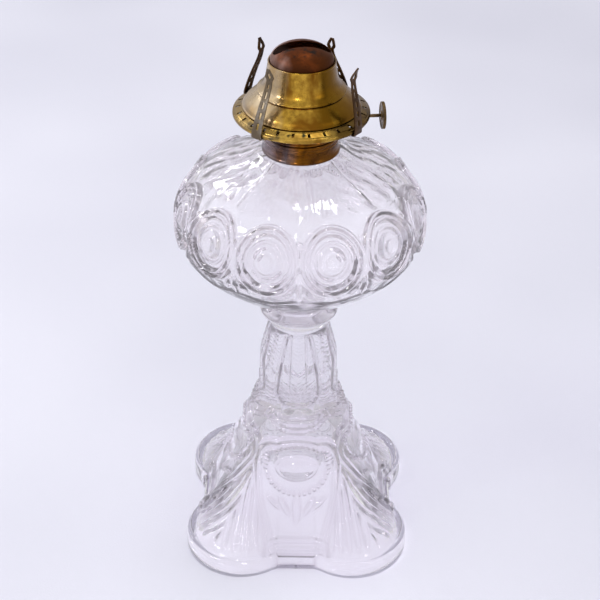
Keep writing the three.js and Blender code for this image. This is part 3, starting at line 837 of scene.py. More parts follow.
@dataclass(frozen=True)
class DryPlaster:
    """The white cement inside the collar."""

    name: str
    colour: Colour = (0.66, 0.62, 0.55)
    shaded: float = 0.7  # brightness of its darker grains

    def material(self) -> bpy.types.Material:
        """Builds the plaster.

        Returns:
            The material.
        """
        nodes = Nodes(self.name)
        shade = tuple(self.shaded * part for part in self.colour)
        colour = nodes.ramp(nodes.noise(260, 6), [(0.35, shade), (0.65, self.colour)])
        normal = nodes.bump(nodes.noise(900, 5), 0.12, 0.9)
        plaster = nodes.add("ShaderNodeBsdfPrincipled", Base_Color=colour, Normal=normal)
        plaster.inputs["Roughness"].default_value = 0.95
        return nodes.skin(plaster)


@dataclass(frozen=True)
class WovenCotton:
    """A flat woven wick, scorched at its upper end."""

    name: str
    colour: Colour = (0.74, 0.68, 0.56)
    scorched_at: float = 328.8  # height where the scorching starts
    scorched_over: float = 2.0  # height over which it gets full
    scorched: Colour = (0.035, 0.028, 0.022)
    shaded: float = 0.55  # brightness between its threads

    def material(self) -> bpy.types.Material:
        """Builds the cotton.

        Returns:
            The material.
        """
        nodes = Nodes(self.name)
        across = nodes.add("ShaderNodeTexWave", bands_direction="X", Vector=nodes.place,
                           Scale=420.0, Distortion=0.6).outputs["Fac"]
        up = nodes.add("ShaderNodeTexWave", bands_direction="Z", Vector=nodes.place,
                       Scale=320.0, Distortion=0.6).outputs["Fac"]
        weave = nodes.maths("MULTIPLY", across, up)
        shade = tuple(self.shaded * part for part in self.colour)
        colour = nodes.ramp(weave, [(0.05, shade), (0.6, self.colour)])
        uneven = nodes.band(nodes.noise(500, 3), 0, 1, (-MM, MM))
        ragged = nodes.maths("ADD", nodes.along("Z"), uneven)
        full = self.scorched_at + self.scorched_over
        burnt = nodes.band(ragged, self.scorched_at * MM, full * MM)
        colour = nodes.mix(burnt, colour, self.scorched)
        normal = nodes.bump(weave, 0.3, 0.8)
        cloth = nodes.add("ShaderNodeBsdfPrincipled", Base_Color=colour, Normal=normal)
        cloth.inputs["Roughness"].default_value = 0.95
        cloth.inputs["Sheen Weight"].default_value = 0.3
        return nodes.skin(cloth)


class Finishes:
    """Every finish on the lamp, built once."""

    def __init__(self) -> None:
        """Builds the materials."""
        self.glass = PressedGlass("clear_pressed_glass", waves=0.16).material()
        # The stand's glass is tinted darker than the reservoir's, with darker painted shade on the
        # flanks of its relief.
        self.thick_glass = PressedGlass(
            "thick_pressed_glass", tint=(0.955, 0.945, 0.962), flanks=(0.69, 0.64, 0.69),
            foot_tint=(0.885, 0.875, 0.890)).material()
        self.plaster = DryPlaster("dry_plaster").material()
        self.cotton = WovenCotton("woven_wick_cotton").material()
        # The bronze, the brass, the brim and the dome below get a paler painted sheen on their left
        # side and painted shade on their right, from their last two colours.
        self.bronze = AgedMetal(
            "dark_collar_bronze", (0.300, 0.110, 0.008), (0.040, 0.013, 0.004),
            (0.030, 0.024, 0.050), patch_scale=85, gloss=(0.14, 0.30), specks=0.8,
            patch_at=(0.44, 0.58), painted_sheen=(0.24, 0.20, 0.21), browned_and_shaded=(0.140, 0.056, 0.010),
        ).material()
        self.brass = AgedMetal(
            "aged_spun_brass", (0.700, 0.415, 0.055), (0.215, 0.090, 0.008),
            (0.030, 0.026, 0.012), gloss=(0.22, 0.42), patch_scale=62, patch_at=(0.46, 0.62),
            painted_sheen=(0.52, 0.43, 0.30), browned_and_shaded=(0.150, 0.072, 0.004),
        ).material()
        self.brim = AgedMetal(
            "spotted_brim_brass", (0.800, 0.520, 0.100), (0.280, 0.145, 0.020),
            (0.022, 0.024, 0.012), specks=0.8, gloss=(0.24, 0.44), patch_scale=70,
            grime=(BURNER_SEAT + 16.9, BURNER_SEAT + 15.4),
            painted_sheen=(0.25, 0.175, 0.08), browned_and_shaded=(0.085, 0.045, 0.009),
        ).material()
        self.heated = AgedMetal(
            "heat_browned_dome", (0.170, 0.042, 0.010), (0.066, 0.020, 0.007),
            (0.016, 0.014, 0.012), patch_scale=55, gloss=(0.48, 0.60), specks=0.6,
            stretch=(1, 1, 1), grime=(BURNER_SEAT + 47.5, BURNER_SEAT + 51.5),
            painted_sheen=(0.42, 0.28, 0.24), browned_and_shaded=(0.080, 0.024, 0.006),
        ).material()
        # Two copies of the prong brass: a dark brown one, partly tarnish and partly painted shade,
        # and a paler silvery one, a painted reflection for the prong that faces the light.
        self.tarnished_shaded_strip = AgedMetal(
            "tarnished_shaded_prong_brass", (0.115, 0.064, 0.030), (0.050, 0.028, 0.016),
            (0.018, 0.012, 0.008), patch_scale=120, gloss=(0.34, 0.52), specks=0.8,
        ).material()
        self.painted_lit_strip = AgedMetal(
            "painted_lit_prong_brass", (0.36, 0.325, 0.28), (0.16, 0.122, 0.078),
            (0.05, 0.038, 0.025), patch_scale=110, gloss=(0.28, 0.44), specks=0.7,
        ).material()
        self.knob = AgedMetal(
            "brown_knob_brass", (0.200, 0.130, 0.062), (0.085, 0.050, 0.024),
            (0.03, 0.02, 0.015), patch_scale=110, gloss=(0.32, 0.5), specks=0.7,
        ).material()


def dress(piece: Piece, material: bpy.types.Material, body: Body, node: str) -> None:
    """Gives a new piece its finish and its body, and hides the CAD node that it stands for.

    Args:
        piece: The piece, in place.
        material: Its finish.
        body: The body that it rides on.
        node: The CAD node that it replaces.
    """
    piece.data.materials.clear()
    piece.data.materials.append(material)
    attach(piece, body.value)
    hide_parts(node)
    log.info("%s: %d faces on %s", piece.name, len(piece.data.polygons), body.value)


def repaint(name: str, material: bpy.types.Material) -> None:
    """Gives a carried-over CAD node a better material.

    Args:
        name: The node's name.
        material: The material.
    """
    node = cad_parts[name]
    node.data.materials.clear()
    node.data.materials.append(material)
    log.info("%s: kept, with %s", name, material.name)


# ---- the glass


@dataclass
class Stand:
    """The square lobed foot, hollow underneath, and the eight-sided stem in one piece of glass."""

    half_width: float = 73.6
    lobe_radius: float = 36.8
    notch_depth: float = 7.5
    notch_fillet: float = 8.0
    wall: float = 7.0
    shoulder: float = 98.0
    stem_radius: float = 25.2
    neck_radius: float = 18.4
    neck_height: float = 157.0
    rim_inset: float = 6.4
    groove_height: float = 9.6
    columns: int = 448
    climb_rows: int = 170
    hollow_rows: int = 18
    # The thick rim, as insets from the outline and heights
    rim: tuple[Pair, ...] = (
        (1.5, 0.0), (0.55, 0.25), (0.1, 1.0), (0.0, 2.2), (0.0, 4.6), (0.0, 7.0), (0.1, 9.0),
        (0.5, 10.6), (1.2, 11.8), (2.2, 12.4), (3.2, 12.4), (4.1, 11.9), (4.9, 11.0),
        (5.8, 9.9),
    )
    # The disc under the reservoir, as radius and height
    disc: tuple[Pair, ...] = (
        (18.7, 158.3), (19.6, 159.2), (19.9, 160.2), (21.2, 161.3), (21.8, 162.4), (22.9, 163.6),
        (23.2, 164.5), (24.2, 165.4), (24.4, 166.4), (23.9, 167.4), (22.4, 168.0), (21.4, 168.9),
        (19.0, 169.4), (17.3, 170.4), (16.6, 171.7), (16.5, 172.6), (15.4, 172.7), (8.0, 172.7),
        (0.0, 172.7),
    )
    disc_flats: float = 0.25  # its eight-sidedness
    disc_round: float = 160.0  # height from which it is round
    # The climb from the rim to the shoulder, as shares of height, face and corner, and a swell
    climb_foot: float = 11.5
    climb_shares: tuple[tuple[float, float, float, float], ...] = (
        (0.03, 0.97, 0.9, 0.12), (0.11, 0.86, 0.7, 0.11), (0.22, 0.75, 0.5, 0.09),
        (0.38, 0.6, 0.33, 0.08), (0.56, 0.43, 0.2, 0.05), (0.74, 0.26, 0.1, 0.03),
        (0.9, 0.09, 0.03, 0.01), (1.0, 0.0, 0.0, 0.0),
    )
    # The stem, as shares of height and width, and eight-sidedness
    stem_shares: tuple[tuple[float, float, float], ...] = (
        (0.3, 1.0, 0.85), (0.56, 0.94, 0.71), (0.7, 0.66, 0.64), (0.83, 0.33, 0.58),
        (1.0, 0.0, 0.5),
    )
    # The hollow, as shares of height, eight-sidedness, and shares of face and corner
    hollow_shares: tuple[tuple[float, float, float, float], ...] = (
        (0.0, 0.0, 1.0, 1.0), (0.1, 0.0, 0.93, 0.9), (0.3, 0.1, 0.8, 0.62),
        (0.55, 0.3, 0.6, 0.4), (0.8, 0.6, 0.36, 0.22), (0.95, 0.9, 0.14, 0.09),
    )
    # The arched panel on each face of the foot. Heights are up the face from the groove.
    foot_top: float = 88.0
    panel_sides: tuple[Pair, ...] = (
        (0, 20.5), (12, 21.0), (24, 23.6), (38, 26.6), (54, 27.0),
    )
    arch_spring: float = 54.0
    arch_half: Pair = (27.0, 25.5)
    panel_lift: float = 1.4
    arch_ridge: Ridge = Ridge(2.4, 2.1)
    inner_arch: Ridge = Ridge(1.2, 1.4)
    inner_arch_gap: float = 4.0
    # The ring of beads round a domed oval
    ring_height: float = 58.3
    ring_half: Pair = (19.6, 16.4)
    ring_ridge: Ridge = Ridge(2.5, 2.1)
    beads: int = 38
    bead_spread: Pair = (20.6, 17.0)
    gem_place: Pair = (-0.3, 58.9)
    gem: Boss = Boss(3.4, 12.1, 7.0, 0.6)
    gem_half: Pair = (12.7, 7.6)
    gem_ridge: Ridge = Ridge(1.1, 1.2)
    gem_dish: Boss = Boss(-0.8, 19.0, 15.6, 0.8)
    # Petals under it as place, lean in degrees, half width and half height
    petals: tuple[tuple[float, float, float, float], ...] = (
        (0, 0, 3.2, 11), (-8, 28, 2.3, 8), (8, -28, 2.3, 8), (-14.5, 46, 1.8, 6.5),
        (14.5, -46, 1.8, 6.5),
    )
    petal_foot: float = 31.0
    petal_climb: float = 0.25  # how much higher a petal stands for each millimetre to a side
    petal_lift: float = 2.2
    # The low ledges at the panel's foot, with an upright end on each side
    ledges: tuple[tuple[float, Ridge], ...] = ((9.5, Ridge(2.2, 2.8)), (4.2, Ridge(1.2, 1.4)))
    ledge_half: float = 19.5
    ledge_end: Ridge = Ridge(0.9, 1.2)
    ledge_end_top: float = 14.0
    # Flutes that fan out from the arch's shoulder to the rim and the corner
    fan_place: Pair = (24.5, 66.0)
    fan_start: float = 6.0
    fan_pitch: float = 5.4
    flute_tip: Pair = (4.0, 5.0)
    flute_top: float = 60.0
    flute_ridge: float = 2.4
    flute_sunk: float = 0.8
    # Rings round the stem's foot as height and dip, with grains pressed between them
    stem_rings: tuple[Pair, ...] = ((83.2, 8), (86.9, 8), (92.4, 7))
    stem_ring_half: float = 22.0
    stem_ring: Ridge = Ridge(3.1, 1.35)
    grain_rows: tuple[float, ...] = (87.3, 93.6)
    grain_columns: tuple[float, ...] = (-3.4, 0, 3.4)
    grain: Boss = Boss(0.8, 1.3, 1.4, 0.7)
    # The tongue-shaped panel on each main face of the stem
    stem_foot: float = 100.0
    stem_top: float = 153.0
    tongue_foot: float = 112.0
    tongue_sides: tuple[Pair, ...] = (
        (112, 13.6), (124, 12.8), (138, 10.6), (153, 7.4),
    )
    tongue_half: Pair = (13.6, 9.5)
    tongue_ridge: Ridge = Ridge(1.3, 1.5)
    tongue_sunk: float = 0.6
    strip_sides: tuple[Pair, ...] = ((108, 6.2), (153, 4.6))
    strip: Ridge = Ridge(0.5, 0.9)
    strip_foot: float = 116.0
    plume_pitch: float = 3.4
    plume_slope: float = 0.9
    plume_lift: float = 0.10
    plume_top: float = 126.0
    # The twisted cords and the lobes on its corners
    cord: Ridge = Ridge(0.8, 2.6)
    cord_pitch: float = 3.3
    cord_twist: float = 0.9
    cord_foot: float = 124.0
    lobe: Ridge = Ridge(0.8, 5.0)
    lobe_top: float = 136.0
    # The recess in the middle of each side of the rim
    recess_half: float = 12.3
    recess: float = 3.0

    def reach(self, turn: np.ndarray) -> np.ndarray:
        """The distance from the middle to the foot's outline.

        Args:
            turn: Turns from a side's middle, in radians.

        Returns:
            The distance in millimetres at each turn.
        """
        side = self.half_width - self.notch_depth
        centre = self.half_width - self.lobe_radius
        quarter = np.mod(turn, math.pi / 2)
        local = np.minimum(quarter, math.pi / 2 - quarter)
        edge = side + self.notch_fillet
        across = centre - math.sqrt(
            (self.lobe_radius + self.notch_fillet) ** 2 - (edge - centre) ** 2)
        share = self.lobe_radius / (self.lobe_radius + self.notch_fillet)
        touch = math.atan2(centre + (across - centre) * share, centre + (edge - centre) * share)
        flat = side / np.cos(local)
        along = edge * np.cos(local) + across * np.sin(local)
        inner = edge**2 + across**2 - self.notch_fillet**2
        fillet = along - np.sqrt(np.maximum(along**2 - inner, 0))
        along = centre * (np.cos(local) + np.sin(local))
        lobe = along + np.sqrt(along**2 - 2 * centre**2 + self.lobe_radius**2)
        near = np.where(local <= touch, fillet, lobe)
        return np.where(np.tan(local) <= across / side, flat, near)

    @staticmethod
    def flat_share(turn: np.ndarray) -> np.ndarray:
        """How far out an eight-sided section reaches.

        Args:
            turn: Turns from a side's middle, in radians.

        Returns:
            The distance from the middle, as a share of that to its flats.
        """
        eighth = math.pi / 4
        local = np.mod(turn, eighth) - eighth / 2
        return 1 / np.cos(eighth / 2 - np.abs(local))

    def rows(self) -> tuple[np.ndarray, np.ndarray]:
        """The mould's rows from the hollow's top, under the rim and up to the joint.

        Returns:
            Rows of face radius, corner radius, height and eight-sidedness, and each row's
            distance up the face from the groove, negative before it.
        """
        side = self.half_width - self.notch_depth
        corner = float(self.reach(np.array([math.pi / 4]))[0])
        rise = self.shoulder - self.climb_foot
        foot, span = side - self.rim_inset, corner - self.rim_inset - self.stem_radius
        climb = [(foot, corner - self.rim_inset, self.groove_height, 0.0)]
        for share, face, out, swell in self.climb_shares:
            climb.append((
                self.stem_radius + (foot - self.stem_radius) * face,
                self.stem_radius * (1 + swell) + span * out,
                self.climb_foot + rise * share, share))
        for share, width, flats in self.stem_shares:
            radius = self.neck_radius + (self.stem_radius - self.neck_radius) * width
            climb.append((
                radius, radius,
                self.shoulder + (self.neck_height - self.shoulder) * share, flats))
        hollow_top = self.shoulder - self.wall / 2
        hollow = [(0.0, 0.0, hollow_top, 0.9)]
        for share, flats, face, out in reversed(self.hollow_shares):
            radius = (side - self.wall) * face
            hollow.append((
                radius, radius * (1 - out) + (corner - self.wall) * face * out,
                hollow_top * share, flats))
        under = flowing(hollow, self.hollow_rows)
        under[:, 2] = np.maximum(under[:, 2], 0)
        rim = np.array([(side - inset, corner - inset, height, 0) for inset, height in self.rim])
        up = flowing(climb, self.climb_rows)
        disc = np.array([
            (radius, radius, height, self.disc_flats if height < self.disc_round else 0.0)
            for radius, height in self.disc])
        rows = np.vstack([under, rim, up, disc])
        start = len(under) + len(rim)
        along = walked(rows[:, [0, 2]])
        return rows, along - along[start]

    def arch(self, x: np.ndarray, s: np.ndarray) -> np.ndarray:
        """The arch that frames the panel on a face of the foot.

        Args:
            x: Distance across the face from its middle.
            s: Distance up the face from the groove inside the rim.

        Returns:
            The distance outwards from the arch's line.
        """
        half = np.interp(s, *zip(*self.panel_sides))
        above = oval(x, s - self.arch_spring, *self.arch_half)
        return np.where(s > self.arch_spring, above, np.abs(x) - half)

    def medallion(self, x: np.ndarray, s: np.ndarray) -> np.ndarray:
        """The ring of beads round a domed oval, and the petals under it.

        Args:
            x: Distance across the face from its middle.
            s: Distance up the face from the groove inside the rim.

        Returns:
            How far the glass stands out there.
        """
        up = s - self.ring_height
        wide, tall = self.bead_spread
        bead = 0.5 + 0.5 * np.cos(self.beads * np.arctan2(up / tall, x / wide))
        beads = self.ring_ridge.on(oval(x, up, *self.ring_half)) * bead
        gem_x, gem_s = x - self.gem_place[0], s - self.gem_place[1]
        gem = self.gem.on(gem_x, gem_s) + self.gem_ridge.on(oval(gem_x, gem_s, *self.gem_half))
        petals = np.zeros_like(x)
        for place, lean, wide, tall in self.petals:
            low = s - self.petal_foot - abs(place) * self.petal_climb
            across, along = tilted(x - place, low, lean)
            petals = np.maximum(petals, dome(across, along, wide, tall, 0.8))
        return beads + gem + self.gem_dish.on(x, up) + self.petal_lift * petals

    def flutes(self, x: np.ndarray, s: np.ndarray) -> np.ndarray:
        """The flutes that fan out from the arch's shoulder.

        Args:
            x: Distance across the face from its middle.
            s: Distance up the face from the groove inside the rim.

        Returns:
            How far the glass stands out there.
        """
        out, up = self.fan_place
        fan = np.degrees(np.arctan2(np.abs(x) - out, np.maximum(up - s, 1e-3)))
        share = (fan + self.fan_start) / self.fan_pitch
        tip = self.flute_tip[0] + self.flute_tip[1] * np.abs(np.sin(share * math.pi)) ** 0.7
        depth = step(s - tip, 3) * step(self.flute_top - s, 16)
        groove = np.abs(np.cos(share * math.pi)) ** 0.8
        return (self.flute_ridge * groove - self.flute_sunk) * depth

    def foot_relief(self, x: np.ndarray, s: np.ndarray) -> np.ndarray:
        """The ornament on one face of the foot.

        Args:
            x: Distance across the face from its middle.
            s: Distance up the face from the groove inside the rim.

        Returns:
            How far the glass stands out there.
        """
        arch = self.arch(x, s)
        on_foot = step(s - 1.5, 2) * step(self.foot_top - s, 6)
        panel = self.panel_lift * step(-arch, 2.4) * on_foot
        arches = self.arch_ridge.on(arch) + self.inner_arch.on(arch + self.inner_arch_gap)
        out = np.abs(x) - self.ledge_half
        ledge = sum(edge.on(s - height) for height, edge in self.ledges) * step(-out, 2)
        ledge = ledge + self.ledge_end.on(out) * step(self.ledge_end_top - s, 2)
        inside = (self.medallion(x, s) + ledge) * step(-arch, 1.5) * on_foot
        flutes = self.flutes(x, s) * step(arch - 1.2, 1.5)
        return panel + arches * on_foot + inside + flutes

    def stem_panel(self, x: np.ndarray, s: np.ndarray) -> np.ndarray:
        """The tongue-shaped panel on one of the stem's main faces.

        Args:
            x: Distance across the face from its middle.
            s: Distance up the face from the groove inside the rim.

        Returns:
            How far the glass stands out there.
        """
        half = np.interp(s, *zip(*self.tongue_sides))
        low = oval(x, s - self.tongue_foot, *self.tongue_half)
        border = np.where(s < self.tongue_foot, low, np.abs(x) - half)
        strip = self.strip.on(np.abs(x) - np.interp(s, *zip(*self.strip_sides)))
        panel = self.tongue_ridge.on(border) - self.tongue_sunk * step(-border, 3.5)
        plume = np.cos((s - self.plume_slope * np.abs(x)) * FULL_TURN / self.plume_pitch)
        plume = self.plume_lift * plume * step(-border - 1, 1.5) * step(self.plume_top - s, 10)
        return panel + strip * step(s - self.strip_foot, 8) + plume

    def stem_relief(self, x: np.ndarray, s: np.ndarray, eighth_x: np.ndarray) -> np.ndarray:
        """The ornament on the stem, from the rings at its foot up to the neck.

        Args:
            x: Distance across one of the four main faces from its middle.
            s: Distance up the face from the groove inside the rim.
            eighth_x: Distance across a corner flat from its middle.

        Returns:
            How far the glass stands out there.
        """
        rings, grains = np.zeros_like(x), np.zeros_like(x)
        for low, dip in self.stem_rings:
            line = s - low - dip * (x / self.stem_ring_half) ** 2
            rings = np.maximum(rings, self.stem_ring.on(line))
        for across in self.grain_columns:
            for up in self.grain_rows:
                grains = np.maximum(grains, self.grain.on(x - across, s - up))
        on_stem = step(s - self.stem_foot, 3) * step(self.stem_top - s, 4)
        twist = 0.5 + 0.5 * np.cos(s * FULL_TURN / self.cord_pitch + eighth_x * self.cord_twist)
        cord = self.cord.on(eighth_x) * twist
        cord = cord * step(s - self.cord_foot, 14) * step(self.stem_top - s, 3)
        lobe = self.lobe.on(eighth_x) * step(self.lobe_top - s, 18)
        return rings + grains + (self.stem_panel(x, s) + lobe) * on_stem + cord

    def mould(self) -> tuple[np.ndarray, np.ndarray]:
        """Lays out the stand's surface.

        Returns:
            Places in millimetres and how far the pattern stands out there, by row and column.
        """
        rows, along = self.rows()
        turn = np.arange(self.columns) / self.columns * FULL_TURN
        side = self.half_width - self.notch_depth
        corner = float(self.reach(np.array([math.pi / 4]))[0])
        lobe_share = (self.reach(turn) - side) / (corner - side)
        face, out, height, flats = (rows[:, [index]] for index in range(4))
        flat_share = 1 + (self.flat_share(turn)[None, :] - 1) * flats
        radius = face * flat_share + (out - face) * lobe_share[None, :]
        quarter = np.mod(turn + math.pi / 4, math.pi / 2) - math.pi / 4
        eighth = np.mod(turn, math.pi / 2) - math.pi / 4
        x = radius * np.sin(quarter)[None, :]
        s = np.broadcast_to(along[:, None], x.shape)
        relief = self.foot_relief(x, s)
        relief = relief + self.stem_relief(x, s, radius * np.sin(eighth)[None, :])
        relief = np.where(s > 0, relief, 0)
        # The middle of each side of the rim stands back a little between two small corners
        on_rim = (s < -2) & (height > 0.1) & (np.arange(len(rows))[:, None] >= self.hollow_rows)
        relief = relief - self.recess * step(self.recess_half - np.abs(x), 0.6) * on_rim
        surface = around(radius, height, turn)
        return surface + self.outwards(surface) * relief[..., None], relief

    @staticmethod
    def outwards(surface: np.ndarray) -> np.ndarray:
        """The outward direction at each place of a surface.

        Args:
            surface: Places, laid out by row and column.

        Returns:
            Directions of length 1, laid out in the same way.
        """
        up = np.gradient(surface, axis=0)
        sideways = (np.roll(surface, -1, 1) - np.roll(surface, 1, 1)) / 2
        normal = np.cross(sideways, up)
        return normal / np.maximum(np.linalg.norm(normal, axis=-1, keepdims=True), SMALL)

    def build(self, finishes: Finishes) -> None:
        """Presses the stand and dresses it.

        Args:
            finishes: The lamp's finishes.
        """
        piece = Bench.pressed("pressed_glass_stand", *self.mould())
        Bench.smooth(piece, EVERY_EDGE)
        dress(piece, finishes.thick_glass, Body.LAMP, "glass_stand")


@dataclass
class Reservoir:
    """The round glass reservoir with its twelve bull's-eyes."""

    radius: float = 73.2
    height: float = 105.2
    base: float = 173.0
    wall: float = 4.6
    mouth_radius: float = 17.4
    mouth_wall: float = 2.4
    mouth_height: float = 8.2
    eyes: int = 12
    eye_tilt: float = 15.0
    eye_share: float = 0.618
    seams: tuple[float, ...] = (-40.0, 47.0, 140.0, -133.0)
    columns: int = 544
    face_rows: int = 128
    hollow_rows: int = 40
    face_shares: tuple[Pair, ...] = (
        (0.26, 0.02), (0.41, 0.085), (0.58, 0.165), (0.76, 0.26), (0.92, 0.365), (0.99, 0.475),
        (1.0, 0.59), (0.965, 0.7), (0.88, 0.79), (0.75, 0.86), (0.6, 0.91), (0.45, 0.95),
        (0.33, 1.0),
    )
    # A bull's-eye: rings by their distance from an oval line, a knob in a dish
    eye_drop: float = 2.2
    eye_half: Pair = (16.7, 19.0)
    eye_rings: tuple[tuple[float, Ridge], ...] = ((0.9, Ridge(2.9, 1.9)), (-2.7, Ridge(2.3, 1.4)))
    inner_half: Pair = (10.4, 11.4)
    inner_ring: Ridge = Ridge(1.4, 1.2)
    knob: Boss = Boss(3.6, 8.2, 8.8, 0.8)
    knob_half: Pair = (4.6, 5.0)
    knob_groove: Ridge = Ridge(-0.7, 0.9)
    dish: Boss = Boss(-0.9, 13.4, 16.0, 0.5)
    # What stands between two of them
    dot: Boss = Boss(1.3, 1.7, 1.7, 0.6)
    dot_height: float = 8.6
    # Petals as side, place across and down, lean in degrees, half width and half height
    petals: tuple[tuple[float, float, float, float, float, float], ...] = (
        (1, 0, 21.0, 0, 2.2, 7.6), (1, 4.4, 21.5, 26, 1.9, 6.0), (-1, 4.4, 21.5, 26, 1.9, 6.0),
        (1, 0, 9.5, 0, 1.2, 6.5),
    )
    petal_lift: float = 1.8
    hem: Ridge = Ridge(0.8, 1.4)
    hem_drop: float = 30.5
    hem_wave: float = 1.6
    # The plain shoulder over them, and the hand-made unevenness
    shoulder_rise: float = 24.0
    seam: Ridge = Ridge(0.4, 1.0)
    dimple_size: float = 5.5
    dimple_lift: float = 0.09
    dimple_shade: float = 0.75  # how strongly the dimples count in the painted flank shade, as millimetres of relief
    wall_dimple_size: float = 9.0
    wall_dimple_lift: float = 0.24
    wall_wave: float = 0.4

    def relief(self, turn: np.ndarray, s: np.ndarray, girth: float) -> np.ndarray:
        """The bull's-eyes and what stands between them.

        Args:
            turn: Turns from the front, in radians.
            s: Distance up the glass from the middle of the bull's-eyes.
            girth: Radius of the reservoir there.

        Returns:
            How far the glass stands out there.
        """
        pitch = FULL_TURN / self.eyes
        local = np.mod(turn - math.radians(self.eye_tilt) + pitch / 2, pitch) - pitch / 2
        x = local * girth
        between = girth * (pitch / 2 - np.abs(local))
        up = s + self.eye_drop
        band = oval(x, up, *self.eye_half)
        rings = self.inner_ring.on(oval(x, up, *self.inner_half))
        for away, ring in self.eye_rings:
            rings = np.maximum(rings, ring.on(band - away))
        knob = self.knob.on(x, up) + self.knob_groove.on(oval(x, up, *self.knob_half))
        dot = self.dot.on(between, s - self.dot_height)
        petals = np.zeros_like(x * s)
        for side, place, down, lean, wide, tall in self.petals:
            across, along = tilted(between * side - place, s + down, lean)
            petals = np.maximum(petals, dome(across, along, wide, tall, 0.8))
        hem = self.hem.on(s + self.hem_drop + self.hem_wave * np.cos(local / pitch * FULL_TURN))
        return rings + knob + self.dish.on(x, up) + dot + self.petal_lift * petals + hem

    def mould(self) -> tuple[np.ndarray, np.ndarray]:
        """Lays out the reservoir's surface, outside and in.

        Returns:
            Places in millimetres, and the pattern that the painted flank shade is drawn from: the
            relief, with the dimples counted more strongly, by row and column.
        """
        face = self.face()
        along = walked(face)
        tangent = np.gradient(face, axis=0)
        tangent /= np.linalg.norm(tangent, axis=1, keepdims=True)
        outward = np.column_stack([tangent[:, 1], -tangent[:, 0]])
        middle = along[-1] * self.eye_share
        girth = float(np.interp(middle, along, face[:, 0]))
        turn = np.arange(self.columns) / self.columns * FULL_TURN
        relief = self.relief(turn[None, :], (along - middle)[:, None], girth)
        shoulder = step(along[:, None] - middle - self.shoulder_rise, 6)
        places = around(face[:, [0]], face[:, [1]], turn)
        dimples = mottle(places, self.dimple_size, 3) * shoulder
        relief = relief + self.dimple_lift * dimples
        for place in self.seams:
            away = np.mod(turn - math.radians(place) + math.pi, FULL_TURN) - math.pi
            relief = relief + self.seam.on(face[:, [0]] * away) * shoulder
        outer = face[:, None, :] + outward[:, None, :] * relief[..., None]
        pick = np.linspace(self.face_rows - 1, 0, self.hollow_rows).astype(int)
        deep = self.wall + self.wall_dimple_lift * mottle(places[pick], self.wall_dimple_size, 8)
        deep = deep + self.wall_wave * np.sin(3 * turn[None, :] + along[pick][:, None] / 12)
        inner = face[pick][:, None, :] - outward[pick][:, None, :] * deep[..., None]
        top = self.base + self.height + self.mouth_height
        neck = self.mouth_radius + self.mouth_wall
        seat = self.base + self.height
        base = self.ring_rows([
            (0, self.base), (8, self.base), (15.6, self.base), (16.6, self.base + 0.2),
            (17.4, self.base + 0.8)])
        mouth = self.ring_rows([
            (22.0, seat - 0.1), (neck + 0.4, seat + 0.2), (neck, seat + 1.0), (neck, top - 0.8),
            (neck - 0.8, top), (self.mouth_radius + 0.8, top), (self.mouth_radius, top - 0.8),
            (self.mouth_radius, seat - 0.6), (self.mouth_radius + 1.2, seat - 2.6)])
        floor = float(inner[-1, :, 1].mean())
        bottom = self.ring_rows([(9.0, floor + 0.4), (0, floor + 0.5)])
        rows = np.vstack([base, outer, mouth, inner, bottom])
        pattern = np.zeros(rows.shape[:2])
        # The pattern for the painted flank shade, with the dimples counted more strongly so that
        # their painted shade shows
        pattern[len(base):len(base) + len(outer)] = relief + self.dimple_shade * dimples
        return around(rows[..., 0], rows[..., 1], turn), pattern

    def face(self) -> np.ndarray:
        """The outside's line, with its rows closest on the bull's-eyes.

        Returns:
            Rows of radius and height.
        """
        line = [(r * self.radius, self.base + h * self.height) for r, h in self.face_shares]
        fine = flowing(line, 600)
        along = walked(fine)
        middle = along[-1] * self.eye_share
        crowd = 1 + 1.3 * step(along - middle + 36, 8) * step(middle + 26 - along, 8)
        walk = np.concatenate([[0], np.cumsum((crowd[1:] + crowd[:-1]) / 2 * np.diff(along))])
        even = np.interp(np.linspace(0, walk[-1], self.face_rows), walk, along)
        return np.column_stack([np.interp(even, along, column) for column in fine.T])

    def ring_rows(self, line: Outline) -> np.ndarray:
        """The same line of radius and height at every column."""
        return np.repeat(np.asarray(line, float)[:, None, :], self.columns, axis=1)

    def build(self, finishes: Finishes) -> None:
        """Presses the reservoir and dresses it.

        Args:
            finishes: The lamp's finishes.
        """
        piece = Bench.pressed("pressed_glass_reservoir", *self.mould())
        Bench.smooth(piece, EVERY_EDGE)
        dress(piece, finishes.glass, Body.LAMP, "glass_reservoir")


# ---- the metal


